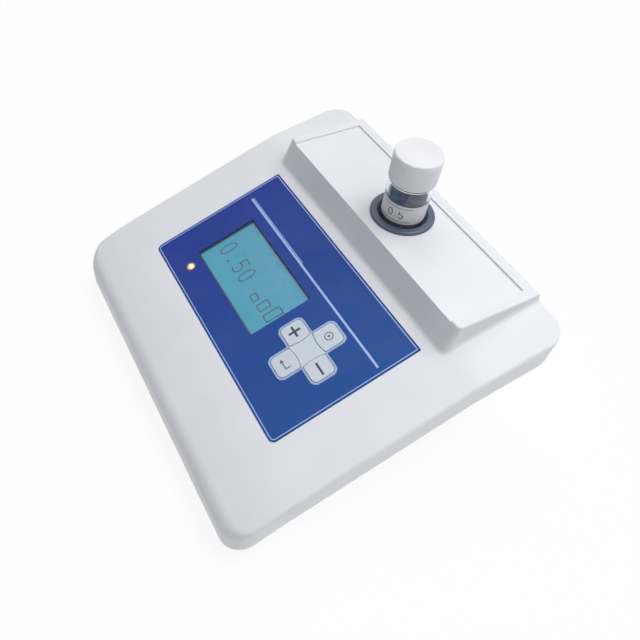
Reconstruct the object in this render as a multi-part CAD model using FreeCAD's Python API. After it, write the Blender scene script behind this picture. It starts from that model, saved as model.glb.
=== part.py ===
import FreeCAD, Part
import math
import os

# Benchtop turbidity meter: a low wedge of moulded plastic with a sloping front panel, a raised
# block at the rear and a sample vial standing in its optical well.
# Frame: X to the right, Y to the rear, Z up, in millimetres. The origin is on the table, under
# the middle of the casing. Lengths on the sloping panel are u (right), v (up the slope) and
# h (out of the panel), measured from the middle of the panel.

Vec = FreeCAD.Vector

# Casing
CASE_WIDTH = 224.0
CASE_DEPTH = 192.0
CORNER_RADIUS = 14.0
WALL = 2.5
SKIRT_HEIGHT = 17.0
NOSE_SLOPE = 28.0
PANEL_SLOPE = 20.0
DECK_SLOPE = 11.5
PANEL_Z = 60.0
NOSE_LENGTH = 24.0
DECK_KNEE_SETBACK = 1.0
NOSE_KNEE_RADIUS = 200.0
DECK_KNEE_RADIUS = 60.0
NOSE_RADIUS = 12.0
EDGE_RADIUS = 2.0
REAR_RADIUS = 1.0

# Raised block at the rear
BLOCK_TOP_Z = 95.5
BLOCK_DEPTH = 55.0
BLOCK_SIDE_ROOM = 26.0
BLOCK_FRONT_LEAN = 17.5
BLOCK_END_DRAFT = 3.0
BLOCK_CORNER_RADIUS = 3.0
BLOCK_EDGE_RADIUS = 1.2
BLOCK_FOOT_RADIUS = 3.0
RECESS_DEPTH = 1.0
RECESS_SIDE_RIM = 6.3
RECESS_REAR_RIM = 7.0

# Lower shell
FLOOR_Z = 3.0
SHELL_GAP = 0.3
TONGUE_HEIGHT = 4.0
SIDE_DRAFT = 16.5
FRONT_DRAFT = 12.0
REAR_INSET = 6.0
LOWER_CORNER_RADIUS = 9.0
FLOOR_RIB_HEIGHT = 3.0
FLOOR_RIB_CLEARANCE = 7.0
RIB_THICKNESS = 1.6
GUSSET_CLEARANCE = 6.0

# Fasteners of the casing
CASE_BOSS_RADIUS = 4.5
FRONT_BOSS_SIDE_ROOM = 20.0
FRONT_BOSS_END_ROOM = 18.0
FRONT_BOSS_JOINT_Z = 14.0
REAR_BOSS_SIDE_ROOM = 36.0
REAR_BOSS_END_ROOM = 19.0
REAR_BOSS_JOINT_Z = 58.0
CASE_SCREW_RADIUS = 1.5
CASE_SCREW_HEAD_RADIUS = 2.8
CASE_SCREW_HEAD_HEIGHT = 2.0
CASE_SCREW_BITE = 9.0
COUNTERBORE_DEPTH = 5.0
SCREW_PLAY = 0.05
SCREW_HEAD_PLAY = 0.3
SCREW_TIP_ROOM = 1.4

# Feet
FOOT_RADIUS = 7.0
FOOT_SEAT_DEPTH = 1.0
FOOT_CHAMFER = 0.8
FRONT_FOOT_SIDE_ROOM = 24.0
FRONT_FOOT_END_ROOM = 34.0
REAR_FOOT_SIDE_ROOM = 42.0
REAR_FOOT_END_ROOM = 38.0

# Membrane panel, in panel coordinates
PANEL_SIDE_ROOM = 33.7
PANEL_FRONT_ROOM = 14.915
PANEL_REAR_ROOM = 11.915
PANEL_FRONT_CORNER = 3.5
PANEL_REAR_CORNER = 0.8
OVERLAY_THICKNESS = 0.6
PANEL_SEAT_DEPTH = 0.4
PANEL_SEAT_PLAY = 0.15

# Display module
DISPLAY_U = -20.4
DISPLAY_PANEL_ROOM = 40.65
VIEW_WIDTH = 72.0
VIEW_HEIGHT = 40.0
WINDOW_THICKNESS = 1.0
WINDOW_LEDGE = 2.0
WINDOW_CORNER_RADIUS = 1.0
WINDOW_PLAY = 0.2
WINDOW_AIR = 0.1
FRAME_BORDER = 3.5
FRAME_SHEET = 0.5
FRAME_PLAY = 0.25
FRAME_CORNER_RADIUS = 0.6
LAYER_PLAY = 0.1
GLASS_THICKNESS = 2.0
BACKLIGHT_THICKNESS = 3.0
BOARD_THICKNESS = 1.6
DISPLAY_BOARD_WIDTH = 93.0
DISPLAY_BOARD_HEIGHT = 70.0
DISPLAY_HOLE_INSET = 2.75
DISPLAY_SCREW_BITE = 2.5
BOARD_CORNER_RADIUS = 1.0
SMALL_BOSS_RADIUS = 2.7
SMALL_SCREW_RADIUS = 1.1
SMALL_SCREW_HEAD_RADIUS = 2.1
SMALL_SCREW_HEAD_HEIGHT = 1.5

# Keypad: four keys on the arms of a cross
KEYPAD_U = 43.0
KEYPAD_RISE = 1.8
KEYPAD_HALF_WIDTH = 20.0
KEYPAD_HALF_HEIGHT = 20.9
KEY_ARM_WIDTH = 14.4
KEY_CORNER_RADIUS = 3.0
KEY_BEZEL_WIDTH = 1.0
KEY_GAP = 0.3
KEY_INNER_EDGE = 7.6
KEY_BULGE = 0.8
KEY_BULGE_SETBACK = 1.0
KEY_INNER_CORNER_RADIUS = 0.8
KEY_CHAMFER = 0.2
KEY_FLOOR_GAP = 0.05
KEY_PLATE_THICKNESS = 0.8
KEY_TRAVEL = 0.4
BEZEL_RISE = 0.4
KEY_STEM_RADIUS = 2.0
KEY_STEM_PLAY = 0.3
KEY_STEM_REACH = 2.9
SWITCH_SIZE = 6.0
SWITCH_HEIGHT = 1.5
SWITCH_FLOOR = 0.3
SWITCH_REST_GAP = 0.1
PLUNGER_RADIUS = 1.2
PLUNGER_PLAY = 0.3
PLUNGER_LENGTH = 0.8
KEYPAD_BOARD_HALF_WIDTH = 19.0
KEYPAD_BOARD_HALF_HEIGHT = 22.0
KEYPAD_BOARD_THICKNESS = 1.2
KEYPAD_HOLE_U = 13.5
KEYPAD_HOLE_V = 16.8
KEYPAD_SCREW_BITE = 1.5

# Power indicator
LED_U = -50.0
LED_VIEW_ROOM = 8.4
LED_RADIUS = 1.9
LED_DOME_RISE = 0.9
LED_PLAY = 0.1
LED_RIM_WIDTH = 0.8
LED_RIM_RISE = 0.15
LED_RIM_PLAY = 0.05

# Sample vial
VIAL_X = 2.6
VIAL_REAR_ROOM = 30.5
VIAL_RADIUS = 12.6
VIAL_WALL = 1.2
VIAL_BASE = 1.6
VIAL_HEIGHT = 66.5
VIAL_NECK_RADIUS = 11.7
VIAL_NECK_HEIGHT = 13.8
VIAL_TOP_ABOVE_BLOCK = 38.5
VIAL_FOOT_CHAMFER = 1.0
VIAL_SHOULDER_DROP = 0.6
VIAL_INNER_CHAMFER = 1.0
LIQUID_HEIGHT = 44.0
LABEL_THICKNESS = 0.12
LABEL_BOTTOM_ABOVE_BLOCK = 2.6
LABEL_HEIGHT = 12.3
CAP_RADIUS = 13.6
CAP_HEIGHT = 16.6
CAP_TOP_THICKNESS = 2.0
CAP_PLAY = 0.3
CAP_CHAMFER = 0.5
CAP_RIB_COUNT = 96
CAP_RIB_DEPTH = 0.25
CAP_RIB_BOTTOM = 1.0
CAP_RIB_TOP = 2.2
LINER_THICKNESS = 1.1
LINER_PLAY = 0.25
LINER_SIDE_PLAY = 0.15

# Optical well
COLLAR_RADIUS = 18.9
COLLAR_NECK_RADIUS = 15.7
COLLAR_RISE = 1.9
COLLAR_FUNNEL_RADIUS = 15.0
COLLAR_NECK_DEPTH = 6.5
COLLAR_LIP_RADIUS = 1.3
COLLAR_FUNNEL_EDGE = 0.4
COLLAR_FUNNEL_DEPTH = 0.4
COLLAR_PLAY = 0.2
VIAL_PLAY = 0.4
VIAL_SEAT_GAP = 0.3
CELL_BLOCK_SIZE = 42.0
CELL_BLOCK_FLOOR = 5.0
CELL_CORNER_RADIUS = 4.0
CELL_BOSS_RADIUS = 3.5
CELL_FLANGE_THICKNESS = 3.0
CELL_FLANGE_REACH = 11.0
CELL_FLANGE_DROP = 6.0
CELL_SCREW_INSET = 4.5
CELL_FLANGE_CORNER_RADIUS = 4.0
CELL_SCREW_BITE = 5.0
BEAM_HEIGHT = 10.0
OPTIC_RADIUS = 2.5
OPTIC_PLAY = 0.1
OPTIC_INSET = 5.0
OPTIC_BOARD_WIDTH = 16.0
OPTIC_BOARD_HEIGHT = 14.0
OPTIC_BOARD_STANDOFF = 3.0
OPTIC_FLANGE_RADIUS = 3.0
OPTIC_FLANGE_THICKNESS = 1.0
LENS_THICKNESS = 2.0
LENS_BULGE = 0.5

# Main board
MAIN_BOARD_WIDTH = 116.0
MAIN_BOARD_DEPTH = 70.0
MAIN_BOARD_Y = 12.0
MAIN_BOARD_STANDOFF = 6.0
MAIN_HOLE_INSET = 4.0
CHIPS = ((-6.0, 12.0, 14.0, 14.0, 1.6), (24.0, 22.0, 10.0, 6.0, 1.8), (24.0, 2.0, 10.0, 6.0, 1.8))
CAPACITOR_RADIUS = 4.0
CAPACITOR_HEIGHT = 11.0
CAPACITOR_PLACES = ((-46.0, 30.0), (-36.0, 34.0))

# Rear connectors
JACK_X = -34.0
JACK_Z = 34.0
JACK_FLANGE_RADIUS = 6.0
JACK_FLANGE_THICKNESS = 1.5
JACK_BODY_RADIUS = 4.0
JACK_BODY_LENGTH = 11.0
JACK_BORE_RADIUS = 2.9
JACK_BORE_DEPTH = 9.0
JACK_PIN_RADIUS = 1.0
JACK_PIN_SETBACK = 1.0
JACK_NUT_RADIUS = 6.2
JACK_NUT_THICKNESS = 2.2
JACK_NUT_PLAY = 0.05
SWITCH_X = -52.0
SWITCH_Z = 34.0
ROCKER_HALF_WIDTH = 5.0
ROCKER_END_RADIUS = 8.4
ROCKER_FACE_DISTANCE = 3.0
ROCKER_BACK_DISTANCE = 3.5
ROCKER_TILT = 10.0
ROCKER_PROUD = 0.2
ROCKER_GAP = 0.3
TRUNNION_RADIUS = 1.2
TRUNNION_PLAY = 0.05
TRUNNION_LENGTH = 1.2
SWITCH_WALL = 1.2
SWITCH_BEZEL_BORDER = 1.1
SWITCH_BEZEL_THICKNESS = 2.0
SWITCH_BODY_DEPTH = 14.0
SWITCH_BACK_WALL = 5.0
TERMINAL_WIDTH = 4.8
TERMINAL_THICKNESS = 0.8
TERMINAL_LENGTH = 8.0
TERMINAL_OFFSET = 4.2
CUTOUT_PLAY = 0.1

# Wiring
STRIP_THICKNESS = 0.9
STRIP_BEND_SHARE = 0.45
DISPLAY_STRIP_WIDTH = 20.0
KEYPAD_STRIP_WIDTH = 8.0
LEAD_STRIP_WIDTH = 5.0
CONNECTOR_HEIGHT = 6.0
CONNECTOR_DEPTH = 6.0
CONNECTOR_MARGIN = 2.0
FRONT_CONNECTORS_Y = -4.0
POWER_CONNECTORS_Y = 20.0
SENSOR_CONNECTORS_Y = 38.0
RIBBON_FIRST_BEND = 0.3
RIBBON_SECOND_BEND = 0.65
DISPLAY_RIBBON_INSET = 7.5
KEYPAD_RIBBON_INSET = 8.0
SENSOR_LEAD_RISE = 14.0
SENSOR_LEAD_DROP = 20.0
SENSOR_LEAD_OVERLAP = 3.0
POWER_LEAD_RISE = 6.0
POWER_LEAD_RUN = 18.0
SWITCH_LEAD_OFFSET = 1.5

# How far the bodies that cut or trim reach past what they cut
BEYOND = 10.0
TOUCH = 0.01

FACE_X = Vec(1, 0, 0)
FACE_Y = Vec(0, 1, 0)
FACE_Z = Vec(0, 0, 1)


def sine(degrees):
    return math.sin(math.radians(degrees))


def cosine(degrees):
    return math.cos(math.radians(degrees))


def tangent(degrees):
    return math.tan(math.radians(degrees))


# Values that follow from the sizes above

BLOCK_FRONT_Y = CASE_DEPTH / 2 - BLOCK_DEPTH
BLOCK_HALF_WIDTH = CASE_WIDTH / 2 - BLOCK_SIDE_ROOM
RECESS_HALF_WIDTH = BLOCK_HALF_WIDTH - RECESS_SIDE_RIM
NOSE_KNEE_Y = NOSE_LENGTH - CASE_DEPTH / 2
DECK_KNEE_Y = BLOCK_FRONT_Y + DECK_KNEE_SETBACK
PANEL_FRONT_Y = NOSE_KNEE_Y + PANEL_FRONT_ROOM
PANEL_REAR_Y = BLOCK_FRONT_Y - PANEL_REAR_ROOM
PANEL_Y = (PANEL_FRONT_Y + PANEL_REAR_Y) / 2
PANEL_HEIGHT = round((PANEL_REAR_Y - PANEL_FRONT_Y) / cosine(PANEL_SLOPE), 2)
PANEL_WIDTH = CASE_WIDTH - 2 * PANEL_SIDE_ROOM
DISPLAY_V = DISPLAY_PANEL_ROOM - PANEL_HEIGHT / 2
KEYPAD_V = DISPLAY_V + KEYPAD_RISE
LED_V = DISPLAY_V - VIEW_HEIGHT / 2 - LED_VIEW_ROOM
VIAL_Y = CASE_DEPTH / 2 - VIAL_REAR_ROOM
CASE_BOSS_FRONT = (CASE_WIDTH / 2 - FRONT_BOSS_SIDE_ROOM, FRONT_BOSS_END_ROOM - CASE_DEPTH / 2,
                   FRONT_BOSS_JOINT_Z)
CASE_BOSS_REAR = (CASE_WIDTH / 2 - REAR_BOSS_SIDE_ROOM, CASE_DEPTH / 2 - REAR_BOSS_END_ROOM,
                  REAR_BOSS_JOINT_Z)
FOOT_FRONT = (CASE_WIDTH / 2 - FRONT_FOOT_SIDE_ROOM, FRONT_FOOT_END_ROOM - CASE_DEPTH / 2)
FOOT_REAR = (CASE_WIDTH / 2 - REAR_FOOT_SIDE_ROOM, CASE_DEPTH / 2 - REAR_FOOT_END_ROOM)
BLOCK_FLOOR_Z = BLOCK_TOP_Z - RECESS_DEPTH
BLOCK_UNDERSIDE_Z = BLOCK_TOP_Z - WALL
VIAL_TOP_Z = BLOCK_FLOOR_Z + VIAL_TOP_ABOVE_BLOCK
VIAL_BOTTOM_Z = VIAL_TOP_Z - VIAL_HEIGHT
CAP_TOP_Z = VIAL_TOP_Z + LINER_PLAY + LINER_THICKNESS + LINER_PLAY + CAP_TOP_THICKNESS
WELL_RADIUS = VIAL_RADIUS + VIAL_PLAY
WELL_FLOOR_Z = VIAL_BOTTOM_Z - VIAL_SEAT_GAP
BEAM_Z = VIAL_BOTTOM_Z + BEAM_HEIGHT
OVERLAY_TOP_H = OVERLAY_THICKNESS - PANEL_SEAT_DEPTH
WINDOW_TOP_H = -PANEL_SEAT_DEPTH
FRAME_TOP_H = WINDOW_TOP_H - WINDOW_THICKNESS - WINDOW_AIR
GLASS_TOP_H = FRAME_TOP_H - FRAME_SHEET
BACKLIGHT_TOP_H = GLASS_TOP_H - GLASS_THICKNESS
DISPLAY_BOARD_TOP_H = BACKLIGHT_TOP_H - BACKLIGHT_THICKNESS
FRAME_WIDTH = VIEW_WIDTH + 2 * FRAME_BORDER
FRAME_HEIGHT = VIEW_HEIGHT + 2 * FRAME_BORDER
KEY_BOTTOM_H = -PANEL_SEAT_DEPTH + KEY_TRAVEL + KEY_FLOOR_GAP
KEYPAD_BOARD_TOP_H = -KEY_STEM_REACH - KEY_TRAVEL - SWITCH_REST_GAP - SWITCH_HEIGHT
REAR_WALL_Y = CASE_DEPTH / 2 - REAR_INSET
REAR_WALL_INNER_Y = REAR_WALL_Y - WALL
ROCKER_PIVOT_Y = REAR_WALL_Y + SWITCH_BEZEL_THICKNESS + ROCKER_PROUD - ROCKER_FACE_DISTANCE
MAIN_BOARD_Z = FLOOR_Z + WALL + MAIN_BOARD_STANDOFF
MAIN_BOARD_TOP_Z = MAIN_BOARD_Z + BOARD_THICKNESS
LEAD_START_Z = MAIN_BOARD_TOP_Z + CONNECTOR_HEIGHT


# Shape helpers

def box(low, high):
    size = Vec(*high) - Vec(*low)
    return Part.makeBox(size.x, size.y, size.z, Vec(*low))


def rod(radius, start, axis, length):
    return Part.makeCylinder(radius, length, Vec(*start), axis)


def group(shapes):
    return Part.makeCompound(shapes)


def rounded_edges(points, radii, closed=True):
    """Straight runs through the points, with a tangent arc at each point that has a radius."""
    points = [Vec(*point) for point in points]
    count = len(points)
    entries, exits, arcs = [], [], []
    for index, point in enumerate(points):
        radius = radii[index]
        if radius <= 0:
            entries.append(point)
            exits.append(point)
            arcs.append(None)
            continue
        back = (points[index - 1] - point).normalize()
        ahead = (points[(index + 1) % count] - point).normalize()
        half_angle = back.getAngle(ahead) / 2
        setback = radius / math.tan(half_angle)
        bisector = (back + ahead).normalize()
        centre = point + bisector * (radius / math.sin(half_angle))
        entries.append(point + back * setback)
        exits.append(point + ahead * setback)
        arcs.append(Part.Arc(entries[-1], centre - bisector * radius, exits[-1]).toShape())
    edges = []
    for index in range(count):
        if arcs[index] is not None:
            edges.append(arcs[index])
        following = (index + 1) % count
        if not closed and following == 0:
            break
        if (exits[index] - entries[following]).Length > 1e-6:
            edges.append(Part.LineSegment(exits[index], entries[following]).toShape())
    return edges


def rounded_face(points, radii):
    return Part.Face(Part.Wire(rounded_edges(points, radii)))


def rounded_plate(half_width, half_height, radii, low, high, centre=(0, 0)):
    """Plate with rounded corners, front left first and then round to the right."""
    cx, cy = centre
    corners = [(cx - half_width, cy - half_height, low), (cx + half_width, cy - half_height, low),
               (cx + half_width, cy + half_height, low), (cx - half_width, cy + half_height, low)]
    return rounded_face(corners, radii).extrude(Vec(0, 0, high - low))


def turned(profile, centre):
    """Solid of revolution about a vertical axis; the profile is a list of (radius, height)."""
    cx, cy, cz = centre
    points = [Vec(cx + radius, cy, cz + height) for radius, height in profile]
    face = Part.Face(Part.makePolygon(points + [points[0]]))
    return face.revolve(Vec(cx, cy, cz), FACE_Z, 360)


def on_panel(shape):
    """Carries a shape from panel coordinates into the frame of the casing."""
    placed = shape.copy()
    placed.rotate(Vec(0, 0, 0), FACE_X, PANEL_SLOPE)
    placed.translate(Vec(0, PANEL_Y, PANEL_Z))
    return placed


def plane_meet(a, b, c):
    """The point that three planes share; each plane is a point on it and its normal."""
    (pa, na), (pb, nb), (pc, nc) = a, b, c
    total = nb.cross(nc) * pa.dot(na) + nc.cross(na) * pb.dot(nb) + na.cross(nb) * pc.dot(nc)
    return total * (1 / na.dot(nb.cross(nc)))


def block_of_planes(planes, inset=0.0):
    """Block between six planes: left, right, front, rear, bottom, top, with outward normals."""
    moved = []
    for point, normal in planes:
        unit = Vec(normal).normalize()
        moved.append((Vec(point) - unit * inset, unit))
    left, right, front, rear, bottom, top = moved
    corner = {}
    for side, a in (("l", left), ("r", right)):
        for end, b in (("f", front), ("b", rear)):
            for level, c in (("d", bottom), ("u", top)):
                corner[side + end + level] = plane_meet(a, b, c)
    names = (("lfd", "lbd", "lbu", "lfu"), ("rfd", "rfu", "rbu", "rbd"), ("lfd", "lfu", "rfu", "rfd"),
             ("lbd", "rbd", "rbu", "lbu"), ("lfd", "rfd", "rbd", "lbd"), ("lfu", "lbu", "rbu", "rfu"))
    faces = []
    for name in names:
        loop = [corner[key] for key in name]
        faces.append(Part.Face(Part.makePolygon(loop + [loop[0]])))
    shell = Part.Shell(faces)
    shell.sewShape()
    solid = Part.makeSolid(shell)
    return solid if solid.Orientation == "Forward" else Part.makeSolid(shell.reversed())


def edges_between(shape, low, high):
    """Edges whose two ends both lie in the box from low to high."""
    bounds = FreeCAD.BoundBox(*low, *high)
    return [edge for edge in shape.Edges if all(bounds.isInside(v.Point) for v in edge.Vertexes)]


def screw(shank_radius, head_radius, head_height, length, start, axis):
    """Pan-head screw whose head sits under start and whose shank runs along axis."""
    head_start = Vec(*start) - axis * head_height
    head = Part.makeCylinder(head_radius, head_height, head_start, axis)
    shank = Part.makeCylinder(shank_radius, length, Vec(*start), axis)
    return head.fuse(shank)


def strip(points, x, width):
    """Flat lead along (y, z) points: straight runs joined by tangent arcs, width along X."""
    path = [Vec(x - width / 2, y, z) for y, z in points]
    runs = [(after - before).normalize() for before, after in zip(path, path[1:])]
    runs = [runs[0]] + runs + [runs[-1]]
    left, right, left_radii, right_radii = [], [], [], []
    for index, point in enumerate(path):
        before, after = runs[index], runs[index + 1]
        normal_before, normal_after = before.cross(FACE_X), after.cross(FACE_X)
        mitre = (normal_before + normal_after).normalize()
        mitre = mitre * (STRIP_THICKNESS / 2 / mitre.dot(normal_before))
        left.append(point + mitre)
        right.append(point - mitre)
        radius = 0.0
        if 0 < index < len(path) - 1:
            shorter = min((point - path[index - 1]).Length, (path[index + 1] - point).Length)
            radius = STRIP_BEND_SHARE * shorter / math.tan(before.getAngle(after) / 2)
        towards = math.copysign(1, after.dot(normal_before)) * STRIP_THICKNESS / 2
        left_radii.append(radius - towards if radius else 0.0)
        right_radii.append(radius + towards if radius else 0.0)
    outline = [tuple(point) for point in left + right[::-1]]
    return rounded_face(outline, left_radii + right_radii[::-1]).extrude(Vec(width, 0, 0))


# Casing

def top_points(inset):
    """Corners of the casing's side profile as (y, z): front, nose knee, deck knee, rear."""
    nose_z = PANEL_Z + (NOSE_KNEE_Y - PANEL_Y) * tangent(PANEL_SLOPE)
    deck_z = PANEL_Z + (DECK_KNEE_Y - PANEL_Y) * tangent(PANEL_SLOPE)
    lines = [(NOSE_KNEE_Y, nose_z, NOSE_SLOPE), (NOSE_KNEE_Y, nose_z, PANEL_SLOPE),
             (DECK_KNEE_Y, deck_z, DECK_SLOPE)]

    def height(line, y):
        y0, z0, slope = line
        return z0 + (y - y0) * tangent(slope) - inset / cosine(slope)

    def crossing(first, second):
        y = (height(second, 0) - height(first, 0)) / (tangent(first[2]) - tangent(second[2]))
        return y, height(first, y)

    front_y = -CASE_DEPTH / 2 + inset
    rear_y = CASE_DEPTH / 2 - inset
    return [(front_y, height(lines[0], front_y)), crossing(lines[0], lines[1]),
            crossing(lines[1], lines[2]), (rear_y, height(lines[2], rear_y))]


def plan_prism(inset):
    """Upright prism on the casing's rounded plan, inset all round."""
    radius = CORNER_RADIUS - inset
    return rounded_plate(CASE_WIDTH / 2 - inset, CASE_DEPTH / 2 - inset, [radius] * 4,
                         -BEYOND, BLOCK_TOP_Z + BEYOND)


def profile_solid(points, radii, half_width):
    """Extrusion along X of a side profile given as (y, z) points."""
    face = rounded_face([(-half_width, y, z) for y, z in points], radii)
    return face.extrude(Vec(2 * half_width, 0, 0))


def case_blank():
    """Outer form of the casing without its raised block, all top edges still sharp."""
    top = top_points(0.0)
    bottom = [(y, z - SKIRT_HEIGHT) for y, z in reversed(top)]
    radii = [0.0, NOSE_KNEE_RADIUS, DECK_KNEE_RADIUS, 0.0]
    solid = profile_solid(top + bottom, radii + radii[::-1], CASE_WIDTH / 2)
    return solid.common(plan_prism(0.0)).removeSplitter()


def rim_fillets(solid):
    """Edge number, start radius and end radius of each edge round the top of the casing.

    The nose gets a large radius, the sides a small one, and everything that ends on the rear
    face, the raised block's outline included, the rear radius.
    """
    rear_y = CASE_DEPTH / 2
    rear_z = deck_height(rear_y)

    def radius_at(point):
        if abs(point.y + rear_y) < TOUCH:
            return NOSE_RADIUS
        return REAR_RADIUS if abs(point.y - rear_y) < TOUCH else EDGE_RADIUS

    def middle_normal(face):
        u0, u1, v0, v1 = face.ParameterRange
        return face.normalAt((u0 + u1) / 2, (v0 + v1) / 2)

    tops = [face for face in solid.Faces if middle_normal(face).z > 0.5]
    sides = [face for face in solid.Faces if abs(middle_normal(face).z) < 1e-6]
    chosen = []
    for number, edge in enumerate(solid.Edges, 1):
        first, last = edge.FirstParameter, edge.LastParameter
        middle = edge.valueAt((first + last) / 2)
        on_rear = all(abs(v.Y - rear_y) < TOUCH and v.Z > rear_z - TOUCH for v in edge.Vertexes)
        on_top = any(face.isInside(middle, 1e-4, True) for face in tops)
        on_side = any(face.isInside(middle, 1e-4, True) for face in sides)
        if on_rear or (on_top and on_side):
            chosen.append((number, radius_at(edge.valueAt(first)), radius_at(edge.valueAt(last))))
    # The kernel counts the changing radii along the rim from the first edge it gets: the nose
    return sorted(chosen, key=lambda rim: -(rim[1] + rim[2]))


def rim_rounded(solid):
    """The casing with its soft nose and its crisper side and rear edges."""
    document = FreeCAD.newDocument("casing")
    base = document.addObject("Part::Feature", "base")
    base.Shape = solid
    rounded = document.addObject("Part::Fillet", "rounded")
    rounded.Base = base
    rounded.Edges = rim_fillets(solid)
    document.recompute()
    result = rounded.Shape.copy()
    FreeCAD.closeDocument(document.Name)
    return result


def case_inside():
    """Space inside the upper shell, open downwards."""
    top = top_points(WALL)
    ends = [(top[3][0], 0.0), (top[0][0], 0.0)]
    radii = [NOSE_RADIUS - WALL, NOSE_KNEE_RADIUS - WALL, DECK_KNEE_RADIUS - WALL, 0.0, 0.0, 0.0]
    return profile_solid(top + ends, radii, CASE_WIDTH / 2).common(plan_prism(WALL))


def rear_block(inset):
    """The raised block as a plain solid; its rear face is in line with the casing's."""
    lean, draft = BLOCK_FRONT_LEAN, BLOCK_END_DRAFT
    front_top = (0, BLOCK_FRONT_Y, BLOCK_TOP_Z)
    planes = [((-BLOCK_HALF_WIDTH, 0, BLOCK_TOP_Z), (-cosine(draft), 0, sine(draft))),
              ((BLOCK_HALF_WIDTH, 0, BLOCK_TOP_Z), (cosine(draft), 0, sine(draft))),
              (front_top, (0, -cosine(lean), sine(lean))),
              ((0, CASE_DEPTH / 2, 0), (0, 1, 0)),
              ((0, 0, BLOCK_TOP_Z - 2 * SKIRT_HEIGHT), (0, 0, -1)),
              (front_top, (0, 0, 1))]
    return block_of_planes(planes, inset)


def above_skirt():
    """Everything over the lower edge of the skirt."""
    low = [(y, z - SKIRT_HEIGHT) for y, z in reversed(top_points(0.0))]
    radii = [0.0, 0.0, 0.0, DECK_KNEE_RADIUS, NOSE_KNEE_RADIUS, 0.0]
    high = BLOCK_TOP_Z + BEYOND
    return profile_solid([(low[3][0], high), (low[0][0], high)] + low, radii, CASE_WIDTH / 2)


def rear_block_outside():
    solid = rear_block(0.0)
    reach = CASE_WIDTH / 2
    uprights = [edge for edge in edges_between(solid, (-reach, 0, 0), (reach, VIAL_Y, CASE_DEPTH))
                if abs(edge.Vertexes[0].Z - edge.Vertexes[1].Z) > TOUCH]
    solid = solid.makeFillet(BLOCK_CORNER_RADIUS, uprights)
    rims = [edge for edge in edges_between(solid, (-reach, 0, BLOCK_TOP_Z - TOUCH),
                                           (reach, CASE_DEPTH, BLOCK_TOP_Z + TOUCH))
            if min(v.Y for v in edge.Vertexes) < CASE_DEPTH / 2 - TOUCH]
    return solid.makeFillet(BLOCK_EDGE_RADIUS, rims)


def foot_edges(shape):
    """Edges where the raised block meets the top of the casing."""
    found = []
    for edge in shape.Edges:
        middle = edge.valueAt((edge.FirstParameter + edge.LastParameter) / 2)
        if abs(middle.x) > BLOCK_HALF_WIDTH + BLOCK_FOOT_RADIUS or middle.y < BLOCK_FRONT_Y - BEYOND:
            continue
        if abs(middle.x) < BLOCK_HALF_WIDTH - BLOCK_FOOT_RADIUS and middle.y > BLOCK_FRONT_Y:
            continue
        height = deck_height(middle.y)
        if abs(middle.z - height) < 0.2:
            found.append(edge)
    return found


def deck_height(y):
    """Height of the casing's outer top surface at y, knees taken as sharp."""
    front, nose, deck, rear = top_points(0.0)
    for (y0, z0), (y1, z1) in ((front, nose), (nose, deck), (deck, rear)):
        if y <= y1 or (y1, z1) == rear:
            return z0 + (y - y0) * (z1 - z0) / (y1 - y0)
    return rear[1]


def case_boss_places():
    """Axes of the four case screws as (x, y, height of the joint between the bosses)."""
    return [(side * x, y, z) for x, y, z in (CASE_BOSS_FRONT, CASE_BOSS_REAR) for side in (-1, 1)]


def display_hole_places():
    du = DISPLAY_BOARD_WIDTH / 2 - DISPLAY_HOLE_INSET
    dv = DISPLAY_BOARD_HEIGHT / 2 - DISPLAY_HOLE_INSET
    return [(DISPLAY_U + a * du, DISPLAY_V + b * dv) for a in (-1, 1) for b in (-1, 1)]


def keypad_hole_places():
    return [(KEYPAD_U + a * KEYPAD_HOLE_U, KEYPAD_V + b * KEYPAD_HOLE_V)
            for a in (-1, 1) for b in (-1, 1)]


def cell_screw_places():
    reach = CELL_BLOCK_SIZE / 2 + CELL_FLANGE_REACH - CELL_SCREW_INSET
    return [(VIAL_X - reach, VIAL_Y), (VIAL_X + reach, VIAL_Y)]


def upper_shell_bosses():
    """Bosses and gussets under the top, before they are trimmed to the outer form."""
    parts = []
    for x, y, z in case_boss_places():
        side = math.copysign(1, x)
        parts.append(rod(CASE_BOSS_RADIUS, (x, y, z), FACE_Z, BLOCK_TOP_Z))
        gusset_ends = sorted((x, side * CASE_WIDTH / 2))
        gusset_low = deck_height(y) - SKIRT_HEIGHT + GUSSET_CLEARANCE
        parts.append(box((gusset_ends[0], y - RIB_THICKNESS / 2, gusset_low),
                         (gusset_ends[1], y + RIB_THICKNESS / 2, BLOCK_TOP_Z)))
    for u, v in display_hole_places():
        parts.append(on_panel(rod(SMALL_BOSS_RADIUS, (u, v, DISPLAY_BOARD_TOP_H), FACE_Z, BEYOND)))
    for u, v in keypad_hole_places():
        parts.append(on_panel(rod(SMALL_BOSS_RADIUS, (u, v, KEYPAD_BOARD_TOP_H), FACE_Z, BEYOND)))
    for x, y in cell_screw_places():
        parts.append(rod(CELL_BOSS_RADIUS, (x, y, BLOCK_UNDERSIDE_Z - CELL_FLANGE_DROP), FACE_Z,
                         CELL_FLANGE_DROP + BEYOND))
    return parts


def keypad_outline(grow, low, high):
    """The cross of the keypad, grown all round; low and high are heights over the panel."""
    arm = KEY_ARM_WIDTH / 2 + grow
    radius = KEY_CORNER_RADIUS + grow
    centre = (KEYPAD_U, KEYPAD_V)
    across = rounded_plate(KEYPAD_HALF_WIDTH + grow, arm, [radius] * 4, low, high, centre)
    along = rounded_plate(arm, KEYPAD_HALF_HEIGHT + grow, [radius] * 4, low, high, centre)
    return across.fuse(along).removeSplitter()


def screw_hole(place, start, bite):
    """Blind hole for a small screw that enters at start and bites upwards; its end has room."""
    x, y = place
    return rod(SMALL_SCREW_RADIUS + SCREW_PLAY, (x, y, start - SCREW_TIP_ROOM), FACE_Z,
               bite + 2 * SCREW_TIP_ROOM)


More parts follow.
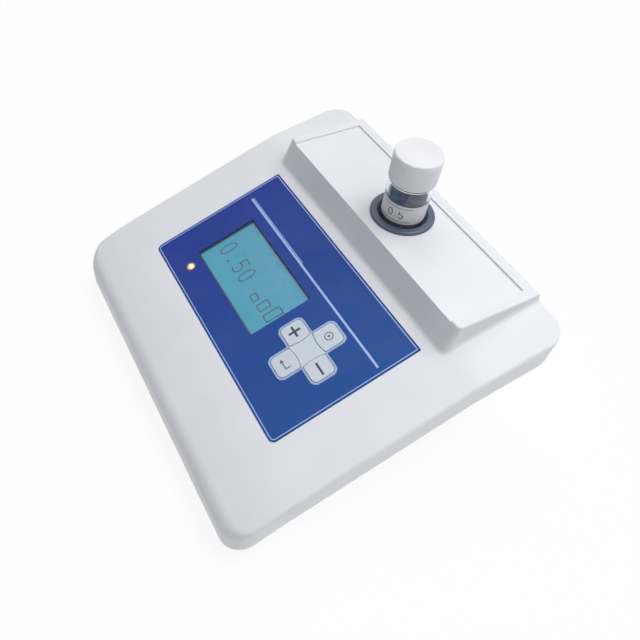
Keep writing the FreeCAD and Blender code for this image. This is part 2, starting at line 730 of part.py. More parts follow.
def panel_cuts():
    """Everything taken out of the sloping top for the panel, display, keys and indicator."""
    play = PANEL_SEAT_PLAY
    front, rear = PANEL_FRONT_CORNER + play, PANEL_REAR_CORNER + play
    cuts = [rounded_plate(PANEL_WIDTH / 2 + play, PANEL_HEIGHT / 2 + play,
                          [front, front, rear, rear], -PANEL_SEAT_DEPTH, BEYOND)]
    display = (DISPLAY_U, DISPLAY_V)
    opening_u, opening_v = FRAME_WIDTH / 2 + FRAME_PLAY, FRAME_HEIGHT / 2 + FRAME_PLAY
    cuts.append(rounded_plate(opening_u, opening_v, [0] * 4, -2 * WALL, BEYOND, display))
    cuts.append(rounded_plate(opening_u + WINDOW_LEDGE, opening_v + WINDOW_LEDGE,
                              [WINDOW_CORNER_RADIUS] * 4, WINDOW_TOP_H - WINDOW_THICKNESS,
                              BEYOND, display))
    for u, v in key_centres().values():
        cuts.append(rod(KEY_STEM_RADIUS + KEY_STEM_PLAY, (u, v, -2 * WALL), FACE_Z, BEYOND))
    cuts.append(rod(LED_RADIUS + LED_PLAY, (LED_U, LED_V, -2 * WALL), FACE_Z, BEYOND))
    for place in display_hole_places():
        cuts.append(screw_hole(place, DISPLAY_BOARD_TOP_H, DISPLAY_SCREW_BITE))
    for place in keypad_hole_places():
        cuts.append(screw_hole(place, KEYPAD_BOARD_TOP_H, KEYPAD_SCREW_BITE))
    return [on_panel(cut) for cut in cuts]


def upper_shell():
    outside = case_blank().fuse(rear_block_outside().common(above_skirt())).removeSplitter()
    outside = rim_rounded(outside.makeFillet(BLOCK_FOOT_RADIUS, foot_edges(outside)))
    shell = outside.cut([case_inside(), rear_block(WALL)])
    shell = shell.fuse([boss.common(outside) for boss in upper_shell_bosses()])
    cuts = panel_cuts()
    recess_rear = CASE_DEPTH / 2 - RECESS_REAR_RIM
    cuts.append(box((-RECESS_HALF_WIDTH, 0, BLOCK_FLOOR_Z),
                    (RECESS_HALF_WIDTH, recess_rear, BLOCK_TOP_Z + BEYOND)))
    cuts.append(rod(COLLAR_NECK_RADIUS + COLLAR_PLAY, (VIAL_X, VIAL_Y, BLOCK_UNDERSIDE_Z - BEYOND),
                    FACE_Z, 2 * BEYOND))
    for x, y, z in case_boss_places():
        cuts.append(rod(CASE_SCREW_RADIUS + SCREW_PLAY, (x, y, z - SCREW_TIP_ROOM), FACE_Z,
                        CASE_SCREW_BITE + 2 * SCREW_TIP_ROOM))
    for place in cell_screw_places():
        cuts.append(screw_hole(place, BLOCK_UNDERSIDE_Z - CELL_FLANGE_DROP, CELL_SCREW_BITE))
    return shell.cut(cuts).removeSplitter()


# Lower shell

def lower_block(inset):
    """Tapered block whose sides follow the parting line and lean in towards the table."""
    front, _, _, rear = top_points(0.0)
    front_z, rear_z = front[1] - SKIRT_HEIGHT, rear[1] - SKIRT_HEIGHT
    along = Vec(0, CASE_DEPTH, rear_z - front_z).normalize()
    edge_x = CASE_WIDTH / 2 - WALL - SHELL_GAP
    edge_y = -CASE_DEPTH / 2 + WALL + SHELL_GAP
    side_normal = along.cross(Vec(-sine(SIDE_DRAFT), 0, -cosine(SIDE_DRAFT)))
    if side_normal.x < 0:
        side_normal = side_normal * -1
    other_normal = Vec(-side_normal.x, side_normal.y, side_normal.z)
    planes = [((-edge_x, edge_y, front_z), other_normal), ((edge_x, edge_y, front_z), side_normal),
              ((0, edge_y, front_z), (0, -cosine(FRONT_DRAFT), -sine(FRONT_DRAFT))),
              ((0, REAR_WALL_Y, 0), (0, 1, 0)),
              ((0, 0, FLOOR_Z), (0, 0, -1)),
              ((0, 0, BLOCK_TOP_Z), (0, 0, 1))]
    return block_of_planes(planes, inset)


def lower_form(inset):
    """Outer form of the lower shell, or the space inside it when inset by the wall."""
    solid = lower_block(inset)
    reach = CASE_WIDTH
    uprights = [edge for edge in edges_between(solid, (-reach, -reach, -BEYOND),
                                               (reach, reach, BLOCK_TOP_Z + BEYOND))
                if abs(edge.Vertexes[0].Z - edge.Vertexes[1].Z) > BLOCK_TOP_Z / 2]
    solid = solid.makeFillet(LOWER_CORNER_RADIUS - inset, uprights)
    return solid.common(plan_prism(WALL + SHELL_GAP + inset))


def under_rim():
    """Everything under the top edge of the lower shell, which tucks up inside the skirt."""
    drop = SKIRT_HEIGHT - TONGUE_HEIGHT
    rim = [(y, z - drop) for y, z in top_points(0.0)]
    radii = [0.0, NOSE_KNEE_RADIUS, DECK_KNEE_RADIUS, 0.0, 0.0, 0.0]
    return profile_solid(rim + [(rim[3][0], -BEYOND), (rim[0][0], -BEYOND)], radii, CASE_WIDTH / 2)


def foot_places():
    return [(side * x, y) for x, y in (FOOT_FRONT, FOOT_REAR) for side in (-1, 1)]


def main_hole_places():
    dx = MAIN_BOARD_WIDTH / 2 - MAIN_HOLE_INSET
    dy = MAIN_BOARD_DEPTH / 2 - MAIN_HOLE_INSET
    return [(a * dx, MAIN_BOARD_Y + b * dy) for a in (-1, 1) for b in (-1, 1)]


def lower_shell():
    outside = lower_form(0.0).common(under_rim())
    inner_floor = FLOOR_Z + WALL
    shell = outside.cut(lower_form(WALL))
    extras = []
    for x, y, z in case_boss_places():
        extras.append(rod(CASE_BOSS_RADIUS, (x, y, FLOOR_Z), FACE_Z, z - FLOOR_Z))
    for x, y in main_hole_places():
        extras.append(rod(SMALL_BOSS_RADIUS, (x, y, FLOOR_Z), FACE_Z, MAIN_BOARD_Z - FLOOR_Z))
    rib_low, rib_high = FLOOR_Z + WALL / 2, inner_floor + FLOOR_RIB_HEIGHT
    rib_reach = MAIN_BOARD_DEPTH / 2 + FLOOR_RIB_CLEARANCE
    for y in (MAIN_BOARD_Y - rib_reach, MAIN_BOARD_Y + rib_reach):
        extras.append(box((-CASE_WIDTH / 2, y - RIB_THICKNESS / 2, rib_low),
                          (CASE_WIDTH / 2, y + RIB_THICKNESS / 2, rib_high)).common(outside))
    shell = shell.fuse(extras)
    cuts = []
    for x, y, z in case_boss_places():
        cuts.append(rod(CASE_SCREW_RADIUS + SCREW_PLAY, (x, y, 0), FACE_Z, z + BEYOND))
        cuts.append(rod(CASE_SCREW_HEAD_RADIUS + SCREW_HEAD_PLAY, (x, y, 0), FACE_Z,
                        FLOOR_Z + COUNTERBORE_DEPTH))
    for x, y in main_hole_places():
        cuts.append(rod(SMALL_SCREW_RADIUS + SCREW_PLAY, (x, y, FLOOR_Z + WALL / 2), FACE_Z,
                        MAIN_BOARD_Z))
    for x, y in foot_places():
        cuts.append(rod(FOOT_RADIUS + SCREW_PLAY, (x, y, 0), FACE_Z, FLOOR_Z + FOOT_SEAT_DEPTH))
    cuts.append(rod(JACK_BODY_RADIUS + CUTOUT_PLAY, (JACK_X, REAR_WALL_Y - 2 * WALL, JACK_Z),
                    FACE_Y, 3 * WALL))
    half_x, half_z = switch_body_halves()
    cuts.append(box((SWITCH_X - half_x - CUTOUT_PLAY, REAR_WALL_Y - 2 * WALL,
                     SWITCH_Z - half_z - CUTOUT_PLAY),
                    (SWITCH_X + half_x + CUTOUT_PLAY, REAR_WALL_Y + WALL,
                     SWITCH_Z + half_z + CUTOUT_PLAY)))
    return shell.cut(cuts).removeSplitter()


def case_screws():
    start_z = FLOOR_Z + COUNTERBORE_DEPTH
    return group([screw(CASE_SCREW_RADIUS, CASE_SCREW_HEAD_RADIUS, CASE_SCREW_HEAD_HEIGHT,
                        z + CASE_SCREW_BITE - start_z, (x, y, start_z), FACE_Z)
                  for x, y, z in case_boss_places()])


def feet():
    height = FLOOR_Z + FOOT_SEAT_DEPTH
    profile = [(0, 0), (FOOT_RADIUS - FOOT_CHAMFER, 0), (FOOT_RADIUS, FOOT_CHAMFER),
               (FOOT_RADIUS, height), (0, height)]
    return group([turned(profile, (x, y, 0)) for x, y in foot_places()])


# Panel, display and keypad, in panel coordinates

def panel_overlay():
    front, rear = PANEL_FRONT_CORNER, PANEL_REAR_CORNER
    low, high = -PANEL_SEAT_DEPTH, OVERLAY_TOP_H
    sheet = rounded_plate(PANEL_WIDTH / 2, PANEL_HEIGHT / 2, [front, front, rear, rear], low, high)
    view = rounded_plate(VIEW_WIDTH / 2, VIEW_HEIGHT / 2, [0] * 4, -BEYOND, BEYOND,
                         (DISPLAY_U, DISPLAY_V))
    keys = keypad_outline(KEY_BEZEL_WIDTH + KEY_GAP, -BEYOND, BEYOND)
    light = rod(LED_RADIUS + LED_PLAY + LED_RIM_WIDTH, (LED_U, LED_V, -BEYOND), FACE_Z, 2 * BEYOND)
    return on_panel(sheet.cut([view, keys, light]))


def display_window():
    """Clear window on the ledge round the display's opening, under the membrane panel."""
    half_u = FRAME_WIDTH / 2 + FRAME_PLAY + WINDOW_LEDGE - WINDOW_PLAY
    half_v = FRAME_HEIGHT / 2 + FRAME_PLAY + WINDOW_LEDGE - WINDOW_PLAY
    return on_panel(rounded_plate(half_u, half_v, [WINDOW_CORNER_RADIUS] * 4,
                                  WINDOW_TOP_H - WINDOW_THICKNESS, WINDOW_TOP_H,
                                  (DISPLAY_U, DISPLAY_V)))


def display_frame():
    centre = (DISPLAY_U, DISPLAY_V)
    half_u, half_v = FRAME_WIDTH / 2, FRAME_HEIGHT / 2
    shell = rounded_plate(half_u, half_v, [FRAME_CORNER_RADIUS] * 4, DISPLAY_BOARD_TOP_H,
                          FRAME_TOP_H, centre)
    inner = rounded_plate(half_u - FRAME_SHEET, half_v - FRAME_SHEET, [0] * 4,
                          DISPLAY_BOARD_TOP_H, GLASS_TOP_H, centre)
    view = rounded_plate(VIEW_WIDTH / 2, VIEW_HEIGHT / 2, [0] * 4, GLASS_TOP_H, FRAME_TOP_H,
                         centre)
    return on_panel(shell.cut([inner, view]))


def display_layer(top, thickness):
    """Glass or backlight: a plate that fills the display frame."""
    half_u = FRAME_WIDTH / 2 - FRAME_SHEET - LAYER_PLAY
    half_v = FRAME_HEIGHT / 2 - FRAME_SHEET - LAYER_PLAY
    return on_panel(rounded_plate(half_u, half_v, [0] * 4, top - thickness, top,
                                  (DISPLAY_U, DISPLAY_V)))


def drilled_board(half_u, half_v, centre, top, thickness, places):
    """Circuit board with rounded corners and a hole for each of its screws."""
    plate = rounded_plate(half_u, half_v, [BOARD_CORNER_RADIUS] * 4, top - thickness, top, centre)
    holes = [rod(SMALL_SCREW_RADIUS + SCREW_PLAY, (u, v, top - BEYOND), FACE_Z, 2 * BEYOND)
             for u, v in places]
    return plate.cut(holes)


def display_board():
    return on_panel(drilled_board(DISPLAY_BOARD_WIDTH / 2, DISPLAY_BOARD_HEIGHT / 2,
                                  (DISPLAY_U, DISPLAY_V), DISPLAY_BOARD_TOP_H, BOARD_THICKNESS,
                                  display_hole_places()))


def small_screws_under(places, board_bottom, length):
    """Screws that hold a board up against bosses of the sloping top."""
    return on_panel(group([screw(SMALL_SCREW_RADIUS, SMALL_SCREW_HEAD_RADIUS,
                                 SMALL_SCREW_HEAD_HEIGHT, length, (u, v, board_bottom), FACE_Z)
                           for u, v in places]))


def key_centres():
    """Middle of each key, where its stem is."""
    along = (KEYPAD_HALF_WIDTH + KEY_INNER_EDGE) / 2
    up = (KEYPAD_HALF_HEIGHT + KEY_INNER_EDGE) / 2
    return {"plus": (KEYPAD_U - along, KEYPAD_V), "minus": (KEYPAD_U + along, KEYPAD_V),
            "calibrate": (KEYPAD_U, KEYPAD_V + up), "enter": (KEYPAD_U, KEYPAD_V - up)}


def key_region(name, grow, low, high):
    """Region of one key, or of the space for it when grown: an arm of the cross.

    The arm's inner edge bulges towards the middle of the cross.
    """
    turn, half_length = KEY_ARMS[name]
    half = KEY_ARM_WIDTH / 2 - KEY_GAP + grow
    inner = KEY_INNER_EDGE - grow
    outer = half_length - KEY_GAP + grow
    corners = [(inner, -half, low), (outer, -half, low), (outer, half, low), (inner, half, low)]
    radius, inner_radius = KEY_CORNER_RADIUS + grow, KEY_INNER_CORNER_RADIUS
    plate = rounded_face(corners, [inner_radius, radius, radius, inner_radius])
    plate = plate.extrude(Vec(0, 0, high - low))
    half_chord = KEY_ARM_WIDTH / 2 - KEY_GAP - KEY_BULGE_SETBACK
    bulge_radius = (KEY_BULGE ** 2 + half_chord ** 2) / (2 * KEY_BULGE)
    centre_x = KEY_INNER_EDGE - KEY_BULGE + bulge_radius
    disc = rod(bulge_radius + grow, (centre_x, 0, low), FACE_Z, high - low)
    band = box((inner - KEY_BULGE, -half_chord - grow, low),
               (KEY_INNER_EDGE + KEY_BULGE, half_chord + grow, high))
    arm = plate.fuse(disc.common(band)).removeSplitter()
    arm.rotate(Vec(0, 0, 0), FACE_Z, turn)
    arm.translate(Vec(KEYPAD_U, KEYPAD_V, 0))
    return arm


KEY_ARMS = {"plus": (180, KEYPAD_HALF_WIDTH), "minus": (0, KEYPAD_HALF_WIDTH),
            "calibrate": (90, KEYPAD_HALF_HEIGHT), "enter": (270, KEYPAD_HALF_HEIGHT)}


def key_cap(name):
    """Key plate with a bevelled rim and the stem that reaches its switch."""
    top = KEY_BOTTOM_H + KEY_PLATE_THICKNESS
    plate = key_region(name, 0.0, KEY_BOTTOM_H, top)
    rims = [edge for edge in plate.Edges if all(abs(v.Z - top) < 1e-6 for v in edge.Vertexes)]
    plate = plate.makeChamfer(KEY_CHAMFER, rims)
    u, v = key_centres()[name]
    stem = rod(KEY_STEM_RADIUS, (u, v, -KEY_STEM_REACH), FACE_Z,
               KEY_STEM_REACH + KEY_BOTTOM_H + KEY_PLATE_THICKNESS / 2)
    return on_panel(plate.fuse(stem).removeSplitter())


def key_plunger(name):
    u, v = key_centres()[name]
    return on_panel(rod(PLUNGER_RADIUS, (u, v, -KEY_STEM_REACH - PLUNGER_LENGTH), FACE_Z,
                        PLUNGER_LENGTH))


def key_bezel():
    """Light border round the cross with the blank plate in its middle, in one moulding."""
    low, high = -PANEL_SEAT_DEPTH, OVERLAY_TOP_H + BEZEL_RISE
    border = keypad_outline(KEY_BEZEL_WIDTH, low, high)
    wells = [key_region(name, KEY_GAP, low - BEYOND, high + BEYOND) for name in KEY_ARMS]
    return on_panel(border.cut(wells))


def keypad_board():
    return on_panel(drilled_board(KEYPAD_BOARD_HALF_WIDTH, KEYPAD_BOARD_HALF_HEIGHT,
                                  (KEYPAD_U, KEYPAD_V), KEYPAD_BOARD_TOP_H,
                                  KEYPAD_BOARD_THICKNESS, keypad_hole_places()))


def key_switches():
    """Four low push switches, each open at the top for its plunger."""
    half = SWITCH_SIZE / 2
    bodies = []
    for u, v in key_centres().values():
        body = box((u - half, v - half, KEYPAD_BOARD_TOP_H),
                   (u + half, v + half, KEYPAD_BOARD_TOP_H + SWITCH_HEIGHT))
        bore = rod(PLUNGER_RADIUS + PLUNGER_PLAY, (u, v, KEYPAD_BOARD_TOP_H + SWITCH_FLOOR), FACE_Z,
                   SWITCH_HEIGHT)
        bodies.append(body.cut(bore))
    return on_panel(group(bodies))


def power_led():
    """Indicator lamp: a round body on the display board with a domed tip."""
    straight_top = OVERLAY_TOP_H
    length = straight_top - DISPLAY_BOARD_TOP_H
    body = rod(LED_RADIUS, (LED_U, LED_V, DISPLAY_BOARD_TOP_H), FACE_Z, length)
    dome_radius = (LED_DOME_RISE ** 2 + LED_RADIUS ** 2) / (2 * LED_DOME_RISE)
    centre = Vec(LED_U, LED_V, straight_top + LED_DOME_RISE - dome_radius)
    dome = Part.makeSphere(dome_radius, centre)
    tip = dome.common(rod(LED_RADIUS, (LED_U, LED_V, straight_top), FACE_Z, BEYOND))
    return on_panel(body.fuse(tip).removeSplitter())


def led_rim():
    low = -PANEL_SEAT_DEPTH
    outer = rod(LED_RADIUS + LED_PLAY + LED_RIM_WIDTH - LED_RIM_PLAY, (LED_U, LED_V, low), FACE_Z,
                OVERLAY_TOP_H + LED_RIM_RISE - low)
    bore = rod(LED_RADIUS + LED_PLAY, (LED_U, LED_V, -BEYOND), FACE_Z, 2 * BEYOND)
    return on_panel(outer.cut(bore))


# Vial

def vial_profile():
    """Outer corner points of the glass from its foot to the top of its neck."""
    shoulder = VIAL_HEIGHT - VIAL_NECK_HEIGHT
    return [(VIAL_RADIUS - VIAL_FOOT_CHAMFER, 0), (VIAL_RADIUS, VIAL_FOOT_CHAMFER),
            (VIAL_RADIUS, shoulder), (VIAL_NECK_RADIUS, shoulder + VIAL_SHOULDER_DROP),
            (VIAL_NECK_RADIUS, VIAL_HEIGHT)]


def vial_bore():
    return VIAL_RADIUS - VIAL_WALL


def vial_glass():
    """Round glass vial: straight sides, a slightly narrower neck and a flat thick base."""
    bore, neck_bore = vial_bore(), VIAL_NECK_RADIUS - VIAL_WALL
    shoulder = VIAL_HEIGHT - VIAL_NECK_HEIGHT
    chamfer = VIAL_INNER_CHAMFER
    inner = [(neck_bore, VIAL_HEIGHT), (neck_bore, shoulder), (bore, shoulder - chamfer),
             (bore, VIAL_BASE + chamfer), (bore - chamfer, VIAL_BASE), (0, VIAL_BASE)]
    return turned([(0, 0)] + vial_profile() + inner, (VIAL_X, VIAL_Y, VIAL_BOTTOM_Z))


def vial_suspension():
    """The sample: fills the glass up to its surface."""
    bore, chamfer = vial_bore(), VIAL_INNER_CHAMFER
    return turned([(0, VIAL_BASE), (bore - chamfer, VIAL_BASE), (bore, VIAL_BASE + chamfer),
                   (bore, LIQUID_HEIGHT), (0, LIQUID_HEIGHT)], (VIAL_X, VIAL_Y, VIAL_BOTTOM_Z))


def vial_label():
    low = BLOCK_FLOOR_Z + LABEL_BOTTOM_ABOVE_BLOCK
    outer = VIAL_RADIUS + LABEL_THICKNESS
    return turned([(VIAL_RADIUS, 0), (outer, 0), (outer, LABEL_HEIGHT),
                   (VIAL_RADIUS, LABEL_HEIGHT)], (VIAL_X, VIAL_Y, low))


def cap_liner():
    return rod(VIAL_NECK_RADIUS - LINER_SIDE_PLAY, (VIAL_X, VIAL_Y, VIAL_TOP_Z + LINER_PLAY), FACE_Z, LINER_THICKNESS)


def cap_ribs(low, high):
    """Band of fine upright ribs round the cap, as an extruded star."""
    points = []
    for step in range(2 * CAP_RIB_COUNT):
        radius = CAP_RADIUS - (CAP_RIB_DEPTH if step % 2 else 0)
        turn = 180 * step / CAP_RIB_COUNT
        points.append(Vec(VIAL_X + radius * cosine(turn), VIAL_Y + radius * sine(turn), low))
    return Part.Face(Part.makePolygon(points + [points[0]])).extrude(Vec(0, 0, high - low))


def vial_cap():
    """Screw cap: plain rims at its foot and top, ribs between them and a smooth bore."""
    bottom_z = CAP_TOP_Z - CAP_HEIGHT
    plain = CAP_RADIUS - CAP_RIB_DEPTH
    blank = turned([(0, 0), (plain - CAP_CHAMFER, 0), (plain, CAP_CHAMFER),
                    (plain, CAP_HEIGHT - CAP_CHAMFER), (plain - CAP_CHAMFER, CAP_HEIGHT),
                    (0, CAP_HEIGHT)], (VIAL_X, VIAL_Y, bottom_z))
    ribs = cap_ribs(bottom_z + CAP_RIB_BOTTOM, CAP_TOP_Z - CAP_RIB_TOP)
    bore = rod(VIAL_NECK_RADIUS + CAP_PLAY, (VIAL_X, VIAL_Y, bottom_z), FACE_Z,
               CAP_HEIGHT - CAP_TOP_THICKNESS)
    return blank.fuse(ribs).cut(bore)


# Optical well

def collar_ring():
    """Collar with a rounded lip outside and a funnel that leads the vial into the well."""
    corners = [(COLLAR_RADIUS, 0, 0), (COLLAR_RADIUS, COLLAR_RISE, COLLAR_LIP_RADIUS),
               (COLLAR_FUNNEL_RADIUS, COLLAR_RISE, COLLAR_FUNNEL_EDGE),
               (WELL_RADIUS, -COLLAR_FUNNEL_DEPTH, 0), (WELL_RADIUS, -COLLAR_NECK_DEPTH, 0),
               (COLLAR_NECK_RADIUS, -COLLAR_NECK_DEPTH, 0), (COLLAR_NECK_RADIUS, 0, 0)]
    points = [(VIAL_X + r, VIAL_Y, BLOCK_FLOOR_Z + z) for r, z, _ in corners]
    face = rounded_face(points, [radius for _, _, radius in corners])
    return face.revolve(Vec(VIAL_X, VIAL_Y, 0), FACE_Z, 360)


def around_vial(shape, turn):
    """Places a shape made along +X from the vial's axis at beam height."""
    placed = shape.copy()
    placed.rotate(Vec(0, 0, 0), FACE_Z, turn)
    placed.translate(Vec(VIAL_X, VIAL_Y, BEAM_Z))
    return placed


OPTIC_TURNS = {"emitter": 180, "transmission": 0, "scatter": 270}


def cell_block():
    """Dark block that holds the vial, with bores for the lamp and the two light sensors."""
    half = CELL_BLOCK_SIZE / 2
    low, high = WELL_FLOOR_Z - CELL_BLOCK_FLOOR, BLOCK_UNDERSIDE_Z
    body = rounded_plate(half, half, [CELL_CORNER_RADIUS] * 4, low, high, (VIAL_X, VIAL_Y))
    flange_high = BLOCK_UNDERSIDE_Z - CELL_FLANGE_DROP
    flange = rounded_plate(half + CELL_FLANGE_REACH, CELL_SCREW_INSET,
                           [CELL_FLANGE_CORNER_RADIUS] * 4,
                           flange_high - CELL_FLANGE_THICKNESS, flange_high, (VIAL_X, VIAL_Y))
    body = body.fuse(flange)
    axis = (VIAL_X, VIAL_Y)
    cuts = [rod(WELL_RADIUS, axis + (WELL_FLOOR_Z,), FACE_Z, BLOCK_TOP_Z),
            rod(COLLAR_NECK_RADIUS + COLLAR_PLAY, axis + (BLOCK_FLOOR_Z - COLLAR_NECK_DEPTH,),
                FACE_Z, COLLAR_NECK_DEPTH + BEYOND)]
    for x, y in cell_screw_places():
        cuts.append(rod(SMALL_SCREW_RADIUS + SCREW_PLAY, (x, y, flange_high - BEYOND), FACE_Z,
                        2 * BEYOND))
    for turn in OPTIC_TURNS.values():
        cuts.append(around_vial(rod(OPTIC_RADIUS + OPTIC_PLAY, (0, 0, 0), FACE_X, half + BEYOND),
                                turn))
    return body.cut(cuts).removeSplitter()


def cell_block_screws():
    start_z = BLOCK_UNDERSIDE_Z - CELL_FLANGE_DROP - CELL_FLANGE_THICKNESS
    length = CELL_FLANGE_THICKNESS + CELL_SCREW_BITE
    return group([screw(SMALL_SCREW_RADIUS, SMALL_SCREW_HEAD_RADIUS, SMALL_SCREW_HEAD_HEIGHT,
                        length, (x, y, start_z), FACE_Z) for x, y in cell_screw_places()])


def optic_body(kind):
    """Lamp or light sensor: a round body in its bore, with a flange against the block."""
    half = CELL_BLOCK_SIZE / 2
    nose = half - OPTIC_INSET
    body = rod(OPTIC_RADIUS, (nose, 0, 0), FACE_X, OPTIC_INSET + OPTIC_BOARD_STANDOFF)
    flange = rod(OPTIC_FLANGE_RADIUS, (half, 0, 0), FACE_X, OPTIC_FLANGE_THICKNESS)
    return around_vial(body.fuse(flange).removeSplitter(), OPTIC_TURNS[kind])


def optic_board(kind):
    start = CELL_BLOCK_SIZE / 2 + OPTIC_BOARD_STANDOFF
    half_width, half_height = OPTIC_BOARD_WIDTH / 2, OPTIC_BOARD_HEIGHT / 2
    board = box((start, -half_width, -half_height),
                (start + KEYPAD_BOARD_THICKNESS, half_width, half_height))
    return around_vial(board, OPTIC_TURNS[kind])


def emitter_lens():
    """Small glass lens in front of the lamp: flat towards it and domed towards the vial."""
    bulge = LENS_BULGE
    sphere_radius = (bulge ** 2 + OPTIC_RADIUS ** 2) / (2 * bulge)
    outer = CELL_BLOCK_SIZE / 2 - OPTIC_INSET
    low = outer - LENS_THICKNESS
    body = rod(OPTIC_RADIUS, (low + bulge, 0, 0), FACE_X, LENS_THICKNESS - bulge)
    dome = Part.makeSphere(sphere_radius, Vec(low + sphere_radius, 0, 0))
    front = dome.common(rod(OPTIC_RADIUS, (low, 0, 0), FACE_X, bulge))
    return around_vial(body.fuse(front).removeSplitter(), OPTIC_TURNS["emitter"])


# Main board and what stands on it

def main_board():
    return drilled_board(MAIN_BOARD_WIDTH / 2, MAIN_BOARD_DEPTH / 2, (0, MAIN_BOARD_Y),
                         MAIN_BOARD_TOP_Z, BOARD_THICKNESS, main_hole_places())


def main_board_screws():
    bodies = []
    for x, y in main_hole_places():
        bodies.append(screw(SMALL_SCREW_RADIUS, SMALL_SCREW_HEAD_RADIUS, SMALL_SCREW_HEAD_HEIGHT,
                            BOARD_THICKNESS + MAIN_BOARD_STANDOFF, (x, y, MAIN_BOARD_TOP_Z),
                            FACE_Z * -1))
    return group(bodies)


def board_chips():
    """Processor and two smaller chips: x, y, width, depth and height of each."""
    bodies = []
    for x, y, width, depth, height in CHIPS:
        bodies.append(box((x - width / 2, y - depth / 2, MAIN_BOARD_TOP_Z),
                          (x + width / 2, y + depth / 2, MAIN_BOARD_TOP_Z + height)))
    return group(bodies)


def board_capacitors():
    return group([rod(CAPACITOR_RADIUS, (x, y, MAIN_BOARD_TOP_Z), FACE_Z, CAPACITOR_HEIGHT)
                  for x, y in CAPACITOR_PLACES])


def sensor_strip_places():
    """Middle of each light sensor's or lamp's lead along X."""
    beside = CELL_BLOCK_SIZE / 2 + OPTIC_BOARD_STANDOFF + KEYPAD_BOARD_THICKNESS + LEAD_STRIP_WIDTH / 2
    return {"emitter": VIAL_X - beside, "scatter": VIAL_X, "transmission": VIAL_X + beside}


def connector_places():
    """Plan place and width of each upright header on the main board."""
    places = [(DISPLAY_U, FRONT_CONNECTORS_Y, DISPLAY_STRIP_WIDTH),
              (KEYPAD_U, FRONT_CONNECTORS_Y, KEYPAD_STRIP_WIDTH),
              (JACK_X, POWER_CONNECTORS_Y, LEAD_STRIP_WIDTH),
              (SWITCH_X, POWER_CONNECTORS_Y, LEAD_STRIP_WIDTH)]
    for x in sensor_strip_places().values():
        places.append((x, SENSOR_CONNECTORS_Y, LEAD_STRIP_WIDTH))
    return places


def board_connectors():
    """Upright headers that the leads plug into."""
    bodies = []
    for x, y, width in connector_places():
        half_x, half_y = width / 2 + CONNECTOR_MARGIN, CONNECTOR_DEPTH / 2
        bodies.append(box((x - half_x, y - half_y, MAIN_BOARD_TOP_Z),
                          (x + half_x, y + half_y, MAIN_BOARD_TOP_Z + CONNECTOR_HEIGHT)))
    return group(bodies)


def panel_to_case(v, h):
    """The (y, z) place of a point given by v and h on the panel."""
    return (PANEL_Y + v * cosine(PANEL_SLOPE) - h * sine(PANEL_SLOPE),
            PANEL_Z + v * sine(PANEL_SLOPE) + h * cosine(PANEL_SLOPE))


def panel_ribbon(u, v, board_bottom_h, width, board):
    """Ribbon from the main board up to a place on the underside of one of the panel's boards."""
    end_y, end_z = panel_to_case(v, board_bottom_h)
    rise = end_z - LEAD_START_Z
    y = FRONT_CONNECTORS_Y
    points = [(y, LEAD_START_Z), (y, LEAD_START_Z + RIBBON_FIRST_BEND * rise),
              (end_y, LEAD_START_Z + RIBBON_SECOND_BEND * rise), (end_y, end_z + STRIP_THICKNESS)]
    return strip(points, u, width).cut(board)


def display_ribbon():
    v = DISPLAY_V + DISPLAY_BOARD_HEIGHT / 2 - DISPLAY_RIBBON_INSET
    return panel_ribbon(DISPLAY_U, v, DISPLAY_BOARD_TOP_H - BOARD_THICKNESS, DISPLAY_STRIP_WIDTH,
                        display_board())


def keypad_ribbon():
    v = KEYPAD_V + KEYPAD_BOARD_HALF_HEIGHT - KEYPAD_RIBBON_INSET
    return panel_ribbon(KEYPAD_U, v, KEYPAD_BOARD_TOP_H - KEYPAD_BOARD_THICKNESS,
                        KEYPAD_STRIP_WIDTH, keypad_board())


def sensor_leads():
    """Three leads, from the main board to the boards of the lamp and the two light sensors."""
    board_low = BEAM_Z - OPTIC_BOARD_HEIGHT / 2
    y = SENSOR_CONNECTORS_Y
    front_y = VIAL_Y - CELL_BLOCK_SIZE / 2 - OPTIC_BOARD_STANDOFF + STRIP_THICKNESS / 2
    leads = []
    for name, x in sensor_strip_places().items():
        end_y = front_y if name == "scatter" else VIAL_Y
        points = [(y, LEAD_START_Z), (y, LEAD_START_Z + SENSOR_LEAD_RISE),
                  (end_y, board_low - SENSOR_LEAD_DROP), (end_y, board_low + SENSOR_LEAD_OVERLAP)]
        leads.append(strip(points, x, LEAD_STRIP_WIDTH))
    return group(leads)


def power_lead():
    y, end_y = POWER_CONNECTORS_Y, REAR_WALL_Y - JACK_BODY_LENGTH
    points = [(y, LEAD_START_Z), (y, LEAD_START_Z + POWER_LEAD_RISE),
              (y + POWER_LEAD_RUN, JACK_Z), (end_y, JACK_Z)]
    return strip(points, JACK_X, LEAD_STRIP_WIDTH)


def switch_leads():
    """Two leads, one to each terminal of the power switch."""
    end_y = REAR_WALL_Y - SWITCH_BODY_DEPTH - TERMINAL_LENGTH
    leads = []
    for side in (-1, 1):
        y, z = POWER_CONNECTORS_Y - side * SWITCH_LEAD_OFFSET, SWITCH_Z + side * TERMINAL_OFFSET
        points = [(y, LEAD_START_Z), (y, LEAD_START_Z + POWER_LEAD_RISE),
                  (y + POWER_LEAD_RUN, z), (end_y, z)]
        leads.append(strip(points, SWITCH_X, LEAD_STRIP_WIDTH))
    return group(leads)


# Rear connectors

